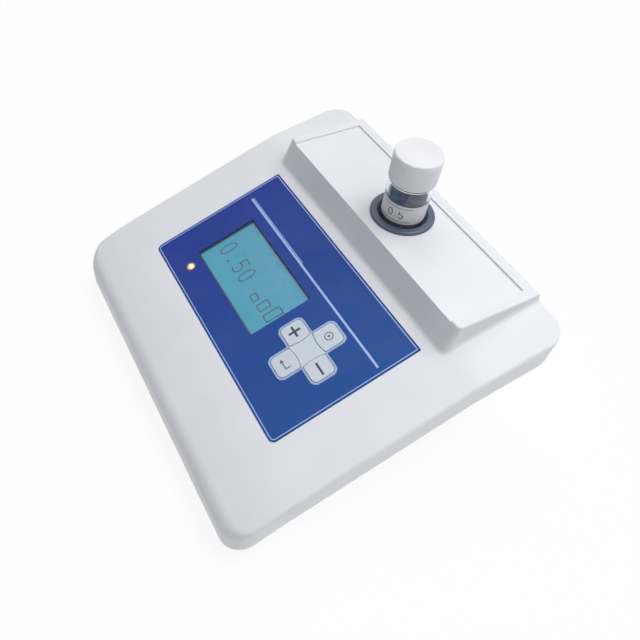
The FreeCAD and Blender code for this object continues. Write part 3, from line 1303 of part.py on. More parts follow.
def jack_body():
    """Barrel socket for the power adapter: flange outside, threaded barrel through the wall."""
    front_y = REAR_WALL_Y + JACK_FLANGE_THICKNESS
    back = FACE_Y * -1
    flange = rod(JACK_FLANGE_RADIUS, (JACK_X, REAR_WALL_Y, JACK_Z), FACE_Y, JACK_FLANGE_THICKNESS)
    barrel = rod(JACK_BODY_RADIUS, (JACK_X, REAR_WALL_Y, JACK_Z), back, JACK_BODY_LENGTH)
    bore = rod(JACK_BORE_RADIUS, (JACK_X, front_y, JACK_Z), back, JACK_BORE_DEPTH)
    return flange.fuse(barrel).removeSplitter().cut(bore)


def jack_nut():
    """Hexagon nut that clamps the socket to the wall from inside."""
    points = []
    for step in range(6):
        points.append(Vec(JACK_X + JACK_NUT_RADIUS * cosine(60 * step), REAR_WALL_INNER_Y,
                          JACK_Z + JACK_NUT_RADIUS * sine(60 * step)))
    blank = Part.Face(Part.makePolygon(points + [points[0]]))
    nut = blank.extrude(Vec(0, -JACK_NUT_THICKNESS, 0))
    bore = rod(JACK_BODY_RADIUS + JACK_NUT_PLAY, (JACK_X, REAR_WALL_INNER_Y - BEYOND, JACK_Z),
               FACE_Y, 2 * BEYOND)
    return nut.cut(bore)


def jack_pin():
    floor_y = REAR_WALL_Y + JACK_FLANGE_THICKNESS - JACK_BORE_DEPTH
    return rod(JACK_PIN_RADIUS, (JACK_X, floor_y, JACK_Z), FACE_Y,
               JACK_BORE_DEPTH - JACK_PIN_SETBACK)


def switch_body_halves():
    """Half width and half height of the power switch's body, which the wall's cut-out follows."""
    return (ROCKER_HALF_WIDTH + ROCKER_GAP + SWITCH_WALL, ROCKER_END_RADIUS + ROCKER_GAP + SWITCH_WALL)


def switch_frame():
    """Housing of the power switch: bezel, body and the two seats of the rocker's trunnions."""
    half_x, half_z = switch_body_halves()
    border = SWITCH_BEZEL_BORDER
    bezel = box((-half_x - border, 0, -half_z - border),
                (half_x + border, SWITCH_BEZEL_THICKNESS, half_z + border))
    body = box((-half_x, -SWITCH_BODY_DEPTH, -half_z), (half_x, 0, half_z))
    frame = bezel.fuse(body).removeSplitter()
    room_x, room_z = ROCKER_HALF_WIDTH + ROCKER_GAP, ROCKER_END_RADIUS + ROCKER_GAP
    room = box((-room_x, SWITCH_BACK_WALL - SWITCH_BODY_DEPTH, -room_z),
               (room_x, SWITCH_BEZEL_THICKNESS, room_z))
    pivot = ROCKER_PIVOT_Y - REAR_WALL_Y
    seats = rod(TRUNNION_RADIUS + TRUNNION_PLAY, (-half_x, pivot, 0), FACE_X, 2 * half_x)
    frame = frame.cut([room, seats])
    frame.translate(Vec(SWITCH_X, REAR_WALL_Y, SWITCH_Z))
    return frame


def power_rocker():
    """Rocker with two faces that meet in a shallow valley, tilted to its first position."""
    reach = ROCKER_END_RADIUS
    rise = reach * tangent(ROCKER_TILT)
    valley, back = ROCKER_FACE_DISTANCE, -ROCKER_BACK_DISTANCE
    profile = [(back, -reach), (valley + rise, -reach), (valley, 0), (valley + rise, reach),
               (back, reach)]
    points = [Vec(-ROCKER_HALF_WIDTH, y, z) for y, z in profile]
    blank = Part.Face(Part.makePolygon(points + [points[0]])).extrude(Vec(2 * ROCKER_HALF_WIDTH, 0, 0))
    blank = blank.common(rod(reach, (-ROCKER_HALF_WIDTH, 0, 0), FACE_X, 2 * ROCKER_HALF_WIDTH))
    half = ROCKER_HALF_WIDTH + TRUNNION_LENGTH
    rocker = blank.fuse(rod(TRUNNION_RADIUS, (-half, 0, 0), FACE_X, 2 * half)).removeSplitter()
    rocker.rotate(Vec(0, 0, 0), FACE_X, ROCKER_TILT)
    rocker.translate(Vec(SWITCH_X, ROCKER_PIVOT_Y, SWITCH_Z))
    return rocker


def switch_terminals():
    start = REAR_WALL_Y - SWITCH_BODY_DEPTH
    tabs = []
    for z in (-TERMINAL_OFFSET, TERMINAL_OFFSET):
        tabs.append(box((SWITCH_X - TERMINAL_WIDTH / 2, start - TERMINAL_LENGTH,
                         SWITCH_Z + z - TERMINAL_THICKNESS / 2),
                        (SWITCH_X + TERMINAL_WIDTH / 2, start,
                         SWITCH_Z + z + TERMINAL_THICKNESS / 2)))
    return group(tabs)


def build_nodes():
    """Every sub-part by its name."""
    nodes = {
        "upper_shell": upper_shell(),
        "lower_shell": lower_shell(),
        "case_screws": case_screws(),
        "rubber_feet": feet(),
        "panel_overlay": panel_overlay(),
        "display_window": display_window(),
        "display_frame": display_frame(),
        "display_glass": display_layer(GLASS_TOP_H, GLASS_THICKNESS),
        "display_backlight": display_layer(BACKLIGHT_TOP_H, BACKLIGHT_THICKNESS),
        "display_board": display_board(),
        "display_screws": small_screws_under(display_hole_places(),
                                             DISPLAY_BOARD_TOP_H - BOARD_THICKNESS,
                                             BOARD_THICKNESS + DISPLAY_SCREW_BITE),
        "display_ribbon": display_ribbon(),
        "key_bezel": key_bezel(),
        "keypad_board": keypad_board(),
        "keypad_switches": key_switches(),
        "keypad_screws": small_screws_under(keypad_hole_places(),
                                            KEYPAD_BOARD_TOP_H - KEYPAD_BOARD_THICKNESS,
                                            KEYPAD_BOARD_THICKNESS + KEYPAD_SCREW_BITE),
        "keypad_ribbon": keypad_ribbon(),
        "power_led": power_led(),
        "led_rim": led_rim(),
        "main_board": main_board(),
        "main_board_screws": main_board_screws(),
        "board_chips": board_chips(),
        "board_capacitors": board_capacitors(),
        "board_connectors": board_connectors(),
        "collar_ring": collar_ring(),
        "cell_block": cell_block(),
        "cell_block_screws": cell_block_screws(),
        "emitter_lamp": optic_body("emitter"),
        "emitter_lens": emitter_lens(),
        "emitter_board": optic_board("emitter"),
        "transmission_sensor": optic_body("transmission"),
        "transmission_board": optic_board("transmission"),
        "scatter_sensor": optic_body("scatter"),
        "scatter_board": optic_board("scatter"),
        "sensor_leads": sensor_leads(),
        "jack_body": jack_body(),
        "jack_nut": jack_nut(),
        "jack_pin": jack_pin(),
        "power_lead": power_lead(),
        "switch_leads": switch_leads(),
        "switch_frame": switch_frame(),
        "switch_terminals": switch_terminals(),
        "power_rocker": power_rocker(),
        "vial_glass": vial_glass(),
        "vial_suspension": vial_suspension(),
        "vial_label": vial_label(),
        "cap_liner": cap_liner(),
        "vial_cap": vial_cap(),
    }
    for name in KEY_ARMS:
        nodes["key_" + name] = key_cap(name)
        nodes["plunger_" + name] = key_plunger(name)
    return nodes


def main():
    os.makedirs("parts", exist_ok=True)
    for name, shape in build_nodes().items():
        shape.exportStep(os.path.join("parts", name + ".step"))
        print(name, "valid" if shape.isValid() else "NOT VALID", len(shape.Solids), "solids",
              round(shape.Volume, 1), "mm3")


main()
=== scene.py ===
"""Looks of a benchtop turbidity meter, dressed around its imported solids.

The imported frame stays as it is: each of its nodes gets a finish, and thin printed details are laid
on the solids that carry them. Lengths are metres in the frame of the part: X to the right, Y to
the rear, Z up, the origin on the table. The sloping panel has coordinates of its own: u to the
right, v up the slope and h out of the panel, measured from the middle of the panel.
"""

from __future__ import annotations

import logging
import math
from dataclasses import dataclass, field
from enum import Enum
from typing import Callable, Iterable, Sequence

import bpy
import numpy as np
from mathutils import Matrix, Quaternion, Vector


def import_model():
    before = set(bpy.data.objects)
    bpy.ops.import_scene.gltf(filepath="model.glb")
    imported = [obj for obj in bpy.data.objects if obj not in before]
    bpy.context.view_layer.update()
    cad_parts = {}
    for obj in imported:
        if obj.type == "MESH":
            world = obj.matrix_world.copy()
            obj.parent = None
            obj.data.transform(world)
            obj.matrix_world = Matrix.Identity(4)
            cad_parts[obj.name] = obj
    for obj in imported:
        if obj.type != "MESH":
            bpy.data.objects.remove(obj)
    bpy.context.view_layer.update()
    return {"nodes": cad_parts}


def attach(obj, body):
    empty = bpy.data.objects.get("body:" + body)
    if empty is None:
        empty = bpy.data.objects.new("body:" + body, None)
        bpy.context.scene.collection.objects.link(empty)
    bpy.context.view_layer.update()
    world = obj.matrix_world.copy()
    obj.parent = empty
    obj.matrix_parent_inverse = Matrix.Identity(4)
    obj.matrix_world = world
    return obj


LOG = logging.getLogger("turbidity_meter")

Rgb = tuple[float, float, float]
Points = np.ndarray
Socket = bpy.types.NodeSocket
Material = bpy.types.Material
Piece = bpy.types.Object

MM = 0.001


class Body(Enum):
    """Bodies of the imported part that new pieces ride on."""

    HOUSING = "housing"
    ROCKER = "rocker"
    VIAL = "vial"
    KEY_PLUS = "key_plus"
    KEY_MINUS = "key_minus"
    KEY_CALIBRATE = "key_calibrate"
    KEY_ENTER = "key_enter"


class Slot(Enum):
    """Names of the record's material slots, passed with each new piece."""

    PANEL_PRINT = "bezel_lavender"
    DISPLAY = "lcd_glass"
    DARK_INK = "black_plastic"
    LIGHT_INK = "white_plastic"


def linear(colour: Rgb) -> tuple[float, float, float, float]:
    """Turns a colour of 0 to 255, as a screen shows it, into the light values that Blender takes.

    Args:
        colour: Red, green and blue from 0 to 255.

    Returns:
        Linear red, green and blue from 0 to 1, with an alpha of 1.
    """
    parts = [c / 255 for c in colour]
    lit = [c / 12.92 if c <= 0.04045 else ((c + 0.055) / 1.055) ** 2.4 for c in parts]
    return (lit[0], lit[1], lit[2], 1.0)


# Wiring of materials


class Graph:
    """Short calls that wire one node tree."""

    def __init__(self, tree: bpy.types.NodeTree) -> None:
        """Takes the tree that the calls work on."""
        self.tree = tree

    def node(self, kind: str, inputs: dict[str | int, object] | None = None,
             **settings: object) -> bpy.types.Node:
        """Adds a node.

        Args:
            kind: Blender's name of the node type.
            inputs: Values or sockets for its inputs, by name or number.
            **settings: Properties of the node itself.

        Returns:
            The new node.
        """
        made = self.tree.nodes.new(kind)
        for name, value in settings.items():
            setattr(made, name, value)
        for key, value in (inputs or {}).items():
            self.feed(made.inputs[key], value)
        return made

    def feed(self, target: Socket, value: object) -> None:
        """Links a socket to an input, or sets the input to a plain value."""
        if isinstance(value, bpy.types.NodeSocket):
            self.tree.links.new(value, target)
        else:
            target.default_value = value

    def maths(self, operation: str, first: object, second: object = 0.0,
              clamp: bool = False) -> Socket:
        """Returns the output of one Math node."""
        return self.node("ShaderNodeMath", {0: first, 1: second}, operation=operation,
                         use_clamp=clamp).outputs[0]

    def spread(self, value: Socket, low: float, high: float, new_low: float,
               new_high: float) -> Socket:
        """Maps a value from one range to another and holds it at the ends.

        Args:
            value: The value to map.
            low: Start of the range it comes from.
            high: End of the range it comes from.
            new_low: What the start becomes.
            new_high: What the end becomes.

        Returns:
            The mapped value.
        """
        inputs = {0: value, 1: low, 2: high, 3: new_low, 4: new_high}
        return self.node("ShaderNodeMapRange", inputs, clamp=True).outputs[0]

    def blend(self, share: object, first: object, second: object) -> Socket:
        """Returns first at a share of 0 and second at 1, as colours."""
        made = self.node("ShaderNodeMix", data_type="RGBA")
        self.feed(made.inputs[0], share)
        self.feed(made.inputs[6], first)
        self.feed(made.inputs[7], second)
        return made.outputs[2]

    def noise(self, place: Socket, scale: object, detail: float = 2.0,
              rough: float = 0.5) -> Socket:
        """Returns a noise value of 0 to 1 at a place."""
        inputs = {"Vector": place, "Scale": scale, "Detail": detail, "Roughness": rough}
        return self.node("ShaderNodeTexNoise", inputs).outputs["Fac"]

    def place(self, turn: Sequence[float] = (0, 0, 0), shift: Sequence[float] = (0, 0, 0),
              stretch: Sequence[float] = (1, 1, 1)) -> Socket:
        """Returns Object coordinates after a stretch, a turn and a shift."""
        source = self.node("ShaderNodeTexCoord").outputs["Object"]
        return self.node("ShaderNodeMapping", {"Vector": source, "Location": shift,
                                               "Rotation": turn, "Scale": stretch}).outputs[0]

    def group(self, tree: bpy.types.NodeTree, **inputs: object) -> bpy.types.Node:
        """Places a shared effect with this material's own values."""
        made = self.node("ShaderNodeGroup", node_tree=tree)
        for name, value in inputs.items():
            self.feed(made.inputs[name], value)
        return made


class Effects:
    """Effects that several finishes share, each built once as a node group."""

    _made: dict[str, bpy.types.NodeTree] = {}

    @classmethod
    def _start(cls, name: str, inputs: dict[str, str],
               outputs: dict[str, str]) -> tuple[Graph, Callable[[str], Socket], bpy.types.Node]:
        """Makes an empty group with its sockets.

        Args:
            name: Name of the group.
            inputs: Socket type of each input.
            outputs: Socket type of each output.

        Returns:
            The group's graph, a function that gives an input's socket, and the output node.
        """
        tree = bpy.data.node_groups.new(name, "ShaderNodeTree")
        for label, kind in inputs.items():
            tree.interface.new_socket(label, in_out="INPUT", socket_type=kind)
        for label, kind in outputs.items():
            tree.interface.new_socket(label, in_out="OUTPUT", socket_type=kind)
        graph = Graph(tree)
        entry = graph.node("NodeGroupInput")
        leave = graph.node("NodeGroupOutput")
        cls._made[name] = tree
        return graph, lambda label: entry.outputs[label], leave

    @classmethod
    def grain(cls) -> bpy.types.NodeTree:
        """Fine eroded texture of a mould: a height, and a soft mottling over the surface."""
        if "mould_grain" in cls._made:
            return cls._made["mould_grain"]
        graph, given, leave = cls._start(
            "mould_grain", {"Size": "NodeSocketFloat", "Patch": "NodeSocketFloat"},
            {"Height": "NodeSocketFloat", "Mottle": "NodeSocketFloat"})
        place = graph.place()
        fine = graph.noise(place, graph.maths("DIVIDE", 1.0, given("Size")), 3.0, 0.6)
        coarse = graph.noise(place, graph.maths("DIVIDE", 0.31, given("Size")), 2.0)
        height = graph.maths("ADD", graph.maths("MULTIPLY", fine, 0.7),
                             graph.maths("MULTIPLY", coarse, 0.3))
        patch = graph.noise(place, graph.maths("DIVIDE", 1.0, given("Patch")), 3.0, 0.55)
        graph.feed(leave.inputs["Height"], height)
        graph.feed(leave.inputs["Mottle"], graph.spread(patch, 0.32, 0.68, 0.0, 1.0))
        return cls._made["mould_grain"]

    @classmethod
    def edges(cls) -> bpy.types.NodeTree:
        """Mask of edges, where the rounded normal leaves the true one, broken by noise: real edge
        wear on most mouldings, a painted highlight on the collar's rims and painted shade on the
        keys' rims.
        """
        if "edge_wear_and_painted_edge_light" in cls._made:
            return cls._made["edge_wear_and_painted_edge_light"]
        graph, given, leave = cls._start(
            "edge_wear_and_painted_edge_light", {"Width": "NodeSocketFloat"}, {"Edge": "NodeSocketFloat"})
        rounded = graph.node("ShaderNodeBevel", {"Radius": given("Width")}, samples=4)
        true = graph.node("ShaderNodeNewGeometry").outputs["Normal"]
        dot = graph.node("ShaderNodeVectorMath", {0: rounded.outputs[0], 1: true},
                         operation="DOT_PRODUCT").outputs["Value"]
        sharp = graph.spread(graph.maths("SUBTRACT", 1.0, dot), 0.01, 0.16, 0.0, 1.0)
        worn = graph.spread(graph.noise(graph.place(), 220.0, 3.0), 0.35, 0.65, 0.35, 1.0)
        graph.feed(leave.inputs["Edge"], graph.maths("MULTIPLY", sharp, worn))
        return cls._made["edge_wear_and_painted_edge_light"]

    @classmethod
    def dust(cls) -> bpy.types.NodeTree:
        """Mask of thin dust: on faces that look up, in soft clouds."""
        if "settled_dust" in cls._made:
            return cls._made["settled_dust"]
        graph, given, leave = cls._start(
            "settled_dust", {"Amount": "NodeSocketFloat"}, {"Dust": "NodeSocketFloat"})
        normal = graph.node("ShaderNodeNewGeometry").outputs["Normal"]
        up = graph.node("ShaderNodeSeparateXYZ", {0: normal}).outputs["Z"]
        level = graph.spread(up, 0.55, 1.0, 0.0, 1.0)
        clouds = graph.spread(graph.noise(graph.place(), 34.0, 4.0, 0.6), 0.42, 0.72, 0.0, 1.0)
        cover = graph.maths("MULTIPLY", graph.maths("MULTIPLY", level, clouds), given("Amount"))
        graph.feed(leave.inputs["Dust"], cover)
        return cls._made["settled_dust"]


# Finishes


@dataclass(frozen=True)
class Finish:
    """A finish with a name; each kind of finish wires its own shader."""

    name: str

    def material(self) -> Material:
        """Returns this finish as a material, made the first time it is asked for."""
        known = bpy.data.materials.get(self.name)
        if known:
            return known
        made = bpy.data.materials.new(self.name)
        made.use_nodes = True
        made.node_tree.nodes.clear()
        graph = Graph(made.node_tree)
        shader = graph.node("ShaderNodeBsdfPrincipled")
        graph.node("ShaderNodeOutputMaterial", {"Surface": shader.outputs[0]})
        self.wire(graph, shader)
        return made

    def wire(self, graph: Graph, shader: bpy.types.Node) -> None:
        """Wires the shader; each kind of finish has its own."""
        raise NotImplementedError

    @staticmethod
    def bump(graph: Graph, height: Socket, depth: float, strength: float = 1.0) -> Socket:
        """Returns a normal bent by a height, depth in metres."""
        return graph.node("ShaderNodeBump", {"Strength": strength, "Distance": depth,
                                             "Height": height}).outputs[0]


@dataclass(frozen=True)
class Moulding(Finish):
    """Moulded plastic with an eroded texture, soft mottling, edges of their own colour and a little
    dust; the edge colour is paler wear on most, a painted highlight on the collar and painted shade
    on the keys.
    """

    colour: Rgb
    roughness: float = 0.45
    grain: float = 0.45 * MM
    depth: float = 0.02 * MM
    mottle: float = 0.03
    edge: Rgb = (236, 238, 241)
    edge_share: float = 0.35
    dust: float = 0.10
    specular: float = 0.5

    def wire(self, graph: Graph, shader: bpy.types.Node) -> None:
        """Colour from mottling, edges and dust; roughness from mottling; bump from grain."""
        texture = graph.group(Effects.grain(), Size=self.grain, Patch=0.035)
        edge = graph.group(Effects.edges(), Width=0.5 * MM).outputs["Edge"]
        dust = graph.group(Effects.dust(), Amount=self.dust).outputs["Dust"]
        shade = tuple(c * (1 - self.mottle) for c in self.colour)
        tone = graph.blend(texture.outputs["Mottle"], linear(shade), linear(self.colour))
        # edge colour: wear on most mouldings, a painted highlight on the collar's rims and painted
        # shade on the keys' rims
        tone = graph.blend(graph.maths("MULTIPLY", edge, self.edge_share), tone, linear(self.edge))
        tone = graph.blend(dust, tone, linear((214, 212, 206)))
        graph.feed(shader.inputs["Base Color"], tone)
        rough = graph.spread(texture.outputs["Mottle"], 0.0, 1.0, self.roughness - 0.05,
                             self.roughness + 0.05)
        graph.feed(shader.inputs["Roughness"], graph.maths("ADD", rough, dust))
        graph.feed(shader.inputs["Specular IOR Level"], self.specular)
        graph.feed(shader.inputs["Normal"],
                   self.bump(graph, texture.outputs["Height"], self.depth))


@dataclass(frozen=True)
class PrintedFilm(Finish):
    """Polyester film printed from behind: a slow change of colour and a fine satin surface."""

    left: Rgb
    right: Rgb
    half_width: float = 78.3 * MM

    def wire(self, graph: Graph, shader: bpy.types.Node) -> None:
        """Colour runs across the panel; satin grain and faint smudges change the roughness."""
        place = graph.place()
        across = graph.node("ShaderNodeSeparateXYZ", {0: place}).outputs["X"]
        share = graph.spread(across, -self.half_width, self.half_width, 0.0, 1.0)
        tone = graph.blend(share, linear(self.left), linear(self.right))
        cloud = graph.noise(place, 22.0, 3.0)
        tone = graph.blend(graph.spread(cloud, 0.35, 0.7, 0.0, 0.07), tone, linear((92, 124, 190)))
        dust = graph.group(Effects.dust(), Amount=0.02).outputs["Dust"]
        graph.feed(shader.inputs["Base Color"], graph.blend(dust, tone, linear((170, 176, 190))))
        smudge = graph.spread(graph.noise(place, 60.0, 4.0, 0.65), 0.4, 0.7, 0.34, 0.46)
        graph.feed(shader.inputs["Roughness"], smudge)
        graph.feed(shader.inputs["Specular IOR Level"], 0.16)
        graph.feed(shader.inputs["Normal"],
                   self.bump(graph, graph.noise(place, 3200.0, 2.0), 0.008 * MM))


@dataclass(frozen=True)
class Ink(Finish):
    """Screen-printed ink: nearly even, with a slightly ragged density."""

    colour: Rgb
    roughness: float = 0.5

    def wire(self, graph: Graph, shader: bpy.types.Node) -> None:
        """Colour and roughness vary a little with the thickness of the ink."""
        place = graph.place()
        thin = graph.spread(graph.noise(place, 900.0, 3.0, 0.6), 0.4, 0.75, 0.0, 0.16)
        paler = tuple(c + (255 - c) * 0.25 for c in self.colour)
        graph.feed(shader.inputs["Base Color"], graph.blend(thin, linear(self.colour),
                                                           linear(paler)))
        graph.feed(shader.inputs["Roughness"],
                   graph.spread(thin, 0.0, 0.16, self.roughness, self.roughness + 0.12))
        graph.feed(shader.inputs["Normal"],
                   self.bump(graph, graph.noise(place, 1800.0, 2.0), 0.006 * MM))


@dataclass(frozen=True)
class CrystalFace(Finish):
    """Face of a liquid crystal display: teal, lit from behind, with a faint grid of cells."""

    near: Rgb
    far: Rgb
    glow: float = 0.10
    pitch: float = 0.95 * MM

    def wire(self, graph: Graph, shader: bpy.types.Node) -> None:
        """Colour runs down the slope; two waves at right angles draw the cells of the display."""
        place = graph.place(turn=(-PanelPlane().slope, 0, 0))
        down = graph.node("ShaderNodeSeparateXYZ", {0: place}).outputs["Y"]
        share = graph.spread(down, -0.02, 0.03, 0.0, 1.0)
        tone = graph.blend(share, linear(self.near), linear(self.far))
        lines = [graph.node("ShaderNodeTexWave", {"Vector": place, "Scale": 0.314 / self.pitch},
                            wave_type="BANDS", bands_direction=axis).outputs["Fac"]
                 for axis in ("X", "Y")]
        grid = graph.spread(graph.maths("MAXIMUM", *lines), 0.93, 1.0, 0.0, 0.10)
        tone = graph.blend(grid, tone, linear(tuple(c * 0.72 for c in self.far)))
        uneven = graph.spread(graph.noise(place, 48.0, 2.0), 0.35, 0.7, 0.0, 0.12)
        tone = graph.blend(uneven, tone, linear((58, 172, 192)))
        graph.feed(shader.inputs["Base Color"], tone)
        graph.feed(shader.inputs["Emission Color"], tone)
        graph.feed(shader.inputs["Emission Strength"], self.glow)
        graph.feed(shader.inputs["Roughness"], graph.spread(uneven, 0.0, 0.12, 0.24, 0.34))


@dataclass(frozen=True)
class KeypadPlastic(Finish):
    """Plastic of the cross: a blank plate in its middle and a lavender border round the keys."""

    plate: Rgb
    border: Rgb
    half_plate: float = 7.45 * MM

    def wire(self, graph: Graph, shader: bpy.types.Node) -> None:
        """Colour by the distance from the middle of the cross, measured along its arms."""
        place = graph.place(turn=(-PanelPlane().slope, 0, 0),
                            shift=PanelPlane().back(Keypad.centre))
        axes = graph.node("ShaderNodeSeparateXYZ", {0: place})
        reach = graph.maths("MAXIMUM", graph.maths("ABSOLUTE", axes.outputs["X"]),
                            graph.maths("ABSOLUTE", axes.outputs["Y"]))
        outside = graph.spread(reach, self.half_plate, self.half_plate + 0.1 * MM, 0.0, 1.0)
        texture = graph.group(Effects.grain(), Size=0.4 * MM, Patch=0.012)
        tone = graph.blend(outside, linear(self.plate), linear(self.border))
        mottle = graph.maths("MULTIPLY", texture.outputs["Mottle"], 0.10)
        tone = graph.blend(mottle, tone, linear((228, 232, 240)))
        graph.feed(shader.inputs["Base Color"], tone)
        graph.feed(shader.inputs["Roughness"],
                   graph.spread(texture.outputs["Mottle"], 0.0, 1.0, 0.38, 0.48))
        graph.feed(shader.inputs["Normal"],
                   self.bump(graph, texture.outputs["Height"], 0.012 * MM))


@dataclass(frozen=True)
class ClearSheet(Finish):
    """Clear sheet that shows what is under it: a thin tint, a gloss and fine rubbing marks."""

    tint: Rgb
    cover: float
    specular: float = 0.3

    def wire(self, graph: Graph, shader: bpy.types.Node) -> None:
        """Alpha gives the tint; scratches along one direction break up the gloss."""
        rubbed = graph.noise(graph.place(stretch=(40, 900, 900)), 1.0, 3.0)
        graph.feed(shader.inputs["Base Color"],
                   graph.blend(rubbed, linear(self.tint), linear((236, 242, 246))))
        graph.feed(shader.inputs["Roughness"], graph.spread(rubbed, 0.3, 0.7, 0.03, 0.12))
        graph.feed(shader.inputs["Specular IOR Level"], self.specular)
        alpha = graph.spread(rubbed, 0.3, 0.8, self.cover, self.cover + 0.03)
        graph.feed(shader.inputs["Alpha"], alpha)


@dataclass(frozen=True)
class Glass(Finish):
    """Clear drawn glass of the vial, with faint draw lines."""

    tint: Rgb = (243, 248, 250)
    ior: float = 1.47

    def wire(self, graph: Graph, shader: bpy.types.Node) -> None:
        """Light goes through; fine upright lines bend it a little."""
        lines = graph.noise(graph.place(stretch=(500, 500, 12)), 1.0, 2.0)
        graph.feed(shader.inputs["Base Color"],
                   graph.blend(lines, linear(self.tint), linear((250, 253, 254))))
        graph.feed(shader.inputs["Roughness"], graph.spread(lines, 0.3, 0.7, 0.0, 0.03))
        graph.feed(shader.inputs["Transmission Weight"], 1.0)
        graph.feed(shader.inputs["IOR"], self.ior)
        graph.feed(shader.inputs["Normal"], self.bump(graph, lines, 0.004 * MM))


@dataclass(frozen=True)
class Suspension(Finish):
    """Sample: water with a faint cloud of fine particles, denser towards the bottom."""

    colour: Rgb = (146, 158, 190)

    def wire(self, graph: Graph, shader: bpy.types.Node) -> None:
        """Alpha grows with depth and with slow clouds, so that the dark well shows through."""
        place = graph.place()
        depth = graph.node("ShaderNodeSeparateXYZ", {0: place}).outputs["Z"]
        cloud = graph.noise(place, 180.0, 3.0, 0.6)
        thick = graph.spread(depth, 0.068, 0.1105, 0.50, 0.30)
        alpha = graph.maths("ADD", thick, graph.maths("MULTIPLY", cloud, 0.08))
        graph.feed(shader.inputs["Base Color"],
                   graph.blend(cloud, linear(self.colour), linear((176, 184, 196))))
        graph.feed(shader.inputs["Roughness"], graph.spread(cloud, 0.3, 0.7, 0.02, 0.08))
        graph.feed(shader.inputs["Alpha"], alpha)
        graph.feed(shader.inputs["IOR"], 1.33)


@dataclass(frozen=True)
class Paper(Finish):
    """Matt paper of the label: fibres and a slightly grubby tone."""

    colour: Rgb

    def wire(self, graph: Graph, shader: bpy.types.Node) -> None:
        """Fibres are noise stretched round the vial; stains are slow noise."""
        fibre = graph.noise(graph.place(stretch=(1400, 1400, 5200)), 1.0, 4.0, 0.7)
        stain = graph.noise(graph.place(), 120.0, 3.0)
        tone = graph.blend(graph.spread(fibre, 0.35, 0.7, 0.0, 0.10), linear(self.colour),
                           linear((196, 198, 200)))
        tone = graph.blend(graph.spread(stain, 0.5, 0.8, 0.0, 0.12), tone, linear((206, 202, 190)))
        graph.feed(shader.inputs["Base Color"], tone)
        graph.feed(shader.inputs["Roughness"], graph.spread(fibre, 0.3, 0.7, 0.62, 0.78))
        graph.feed(shader.inputs["Normal"], self.bump(graph, fibre, 0.02 * MM))


@dataclass(frozen=True)
class Metal(Finish):
    """Plated or brushed metal; the brushing runs along one axis."""

    colour: Rgb
    roughness: float = 0.3
    brush: tuple[float, float, float] = (60.0, 2400.0, 2400.0)
    tarnish: float = 0.18

    def wire(self, graph: Graph, shader: bpy.types.Node) -> None:
        """Brushed lines move the roughness; slow tarnish darkens the colour."""
        lines = graph.noise(graph.place(stretch=self.brush), 1.0, 3.0)
        slow = graph.noise(graph.place(), 260.0, 3.0)
        darker = tuple(c * 0.72 for c in self.colour)
        stain = graph.spread(slow, 0.4, 0.8, 0.0, self.tarnish)
        graph.feed(shader.inputs["Base Color"],
                   graph.blend(stain, linear(self.colour), linear(darker)))
        graph.feed(shader.inputs["Metallic"], 1.0)
        graph.feed(shader.inputs["Roughness"],
                   graph.spread(lines, 0.3, 0.7, self.roughness - 0.08, self.roughness + 0.1))
        graph.feed(shader.inputs["Normal"], self.bump(graph, lines, 0.006 * MM))


@dataclass(frozen=True)
class Rubber(Finish):
    """Soft black rubber with a rough skin and chalky scuffs."""

    colour: Rgb = (46, 47, 50)

    def wire(self, graph: Graph, shader: bpy.types.Node) -> None:
        """Scuffs pale the colour; a coarse grain lifts the surface."""
        texture = graph.group(Effects.grain(), Size=0.6 * MM, Patch=0.006)
        scuff = graph.maths("MULTIPLY", texture.outputs["Mottle"], 0.22)
        graph.feed(shader.inputs["Base Color"],
                   graph.blend(scuff, linear(self.colour), linear((104, 104, 104))))
        graph.feed(shader.inputs["Roughness"], graph.spread(scuff, 0.0, 0.22, 0.78, 0.92))
        graph.feed(shader.inputs["Normal"],
                   self.bump(graph, texture.outputs["Height"], 0.05 * MM))


@dataclass(frozen=True)
class CircuitBoard(Finish):
    """Circuit board: solder mask over copper runs, with tinned pads in rows."""

    mask: Rgb = (28, 92, 58)

    def wire(self, graph: Graph, shader: bpy.types.Node) -> None:
        """Runs are the joints of a brick pattern; pads are the middles of small cells."""
        place = graph.place()
        bricks = graph.node("ShaderNodeTexBrick", {
            "Vector": place, "Scale": 150.0, "Mortar Size": 0.03, "Mortar Smooth": 0.1,
            "Brick Width": 1.4, "Row Height": 0.22, "Color1": (1, 1, 1, 1),
            "Color2": (0.8, 0.8, 0.8, 1), "Mortar": (0, 0, 0, 1)})
        run = graph.maths("SUBTRACT", 1.0, bricks.outputs["Fac"], clamp=True)
        lighter = tuple(min(255.0, c * 1.35) for c in self.mask)
        tone = graph.blend(graph.maths("MULTIPLY", run, 0.7), linear(lighter), linear(self.mask))
        cells = graph.node("ShaderNodeTexVoronoi", {"Vector": place, "Scale": 380.0,
                                                    "Randomness": 0.0}).outputs["Distance"]
        pad = graph.spread(cells, 0.12, 0.16, 1.0, 0.0)
        chosen = graph.spread(graph.noise(place, 90.0), 0.56, 0.58, 0.0, 1.0)
        pad = graph.maths("MULTIPLY", pad, chosen)
        graph.feed(shader.inputs["Base Color"], graph.blend(pad, tone, linear((196, 196, 190))))
        graph.feed(shader.inputs["Metallic"], pad)
        graph.feed(shader.inputs["Roughness"], graph.spread(pad, 0.0, 1.0, 0.32, 0.4))
        graph.feed(shader.inputs["Normal"], self.bump(graph, run, 0.03 * MM))


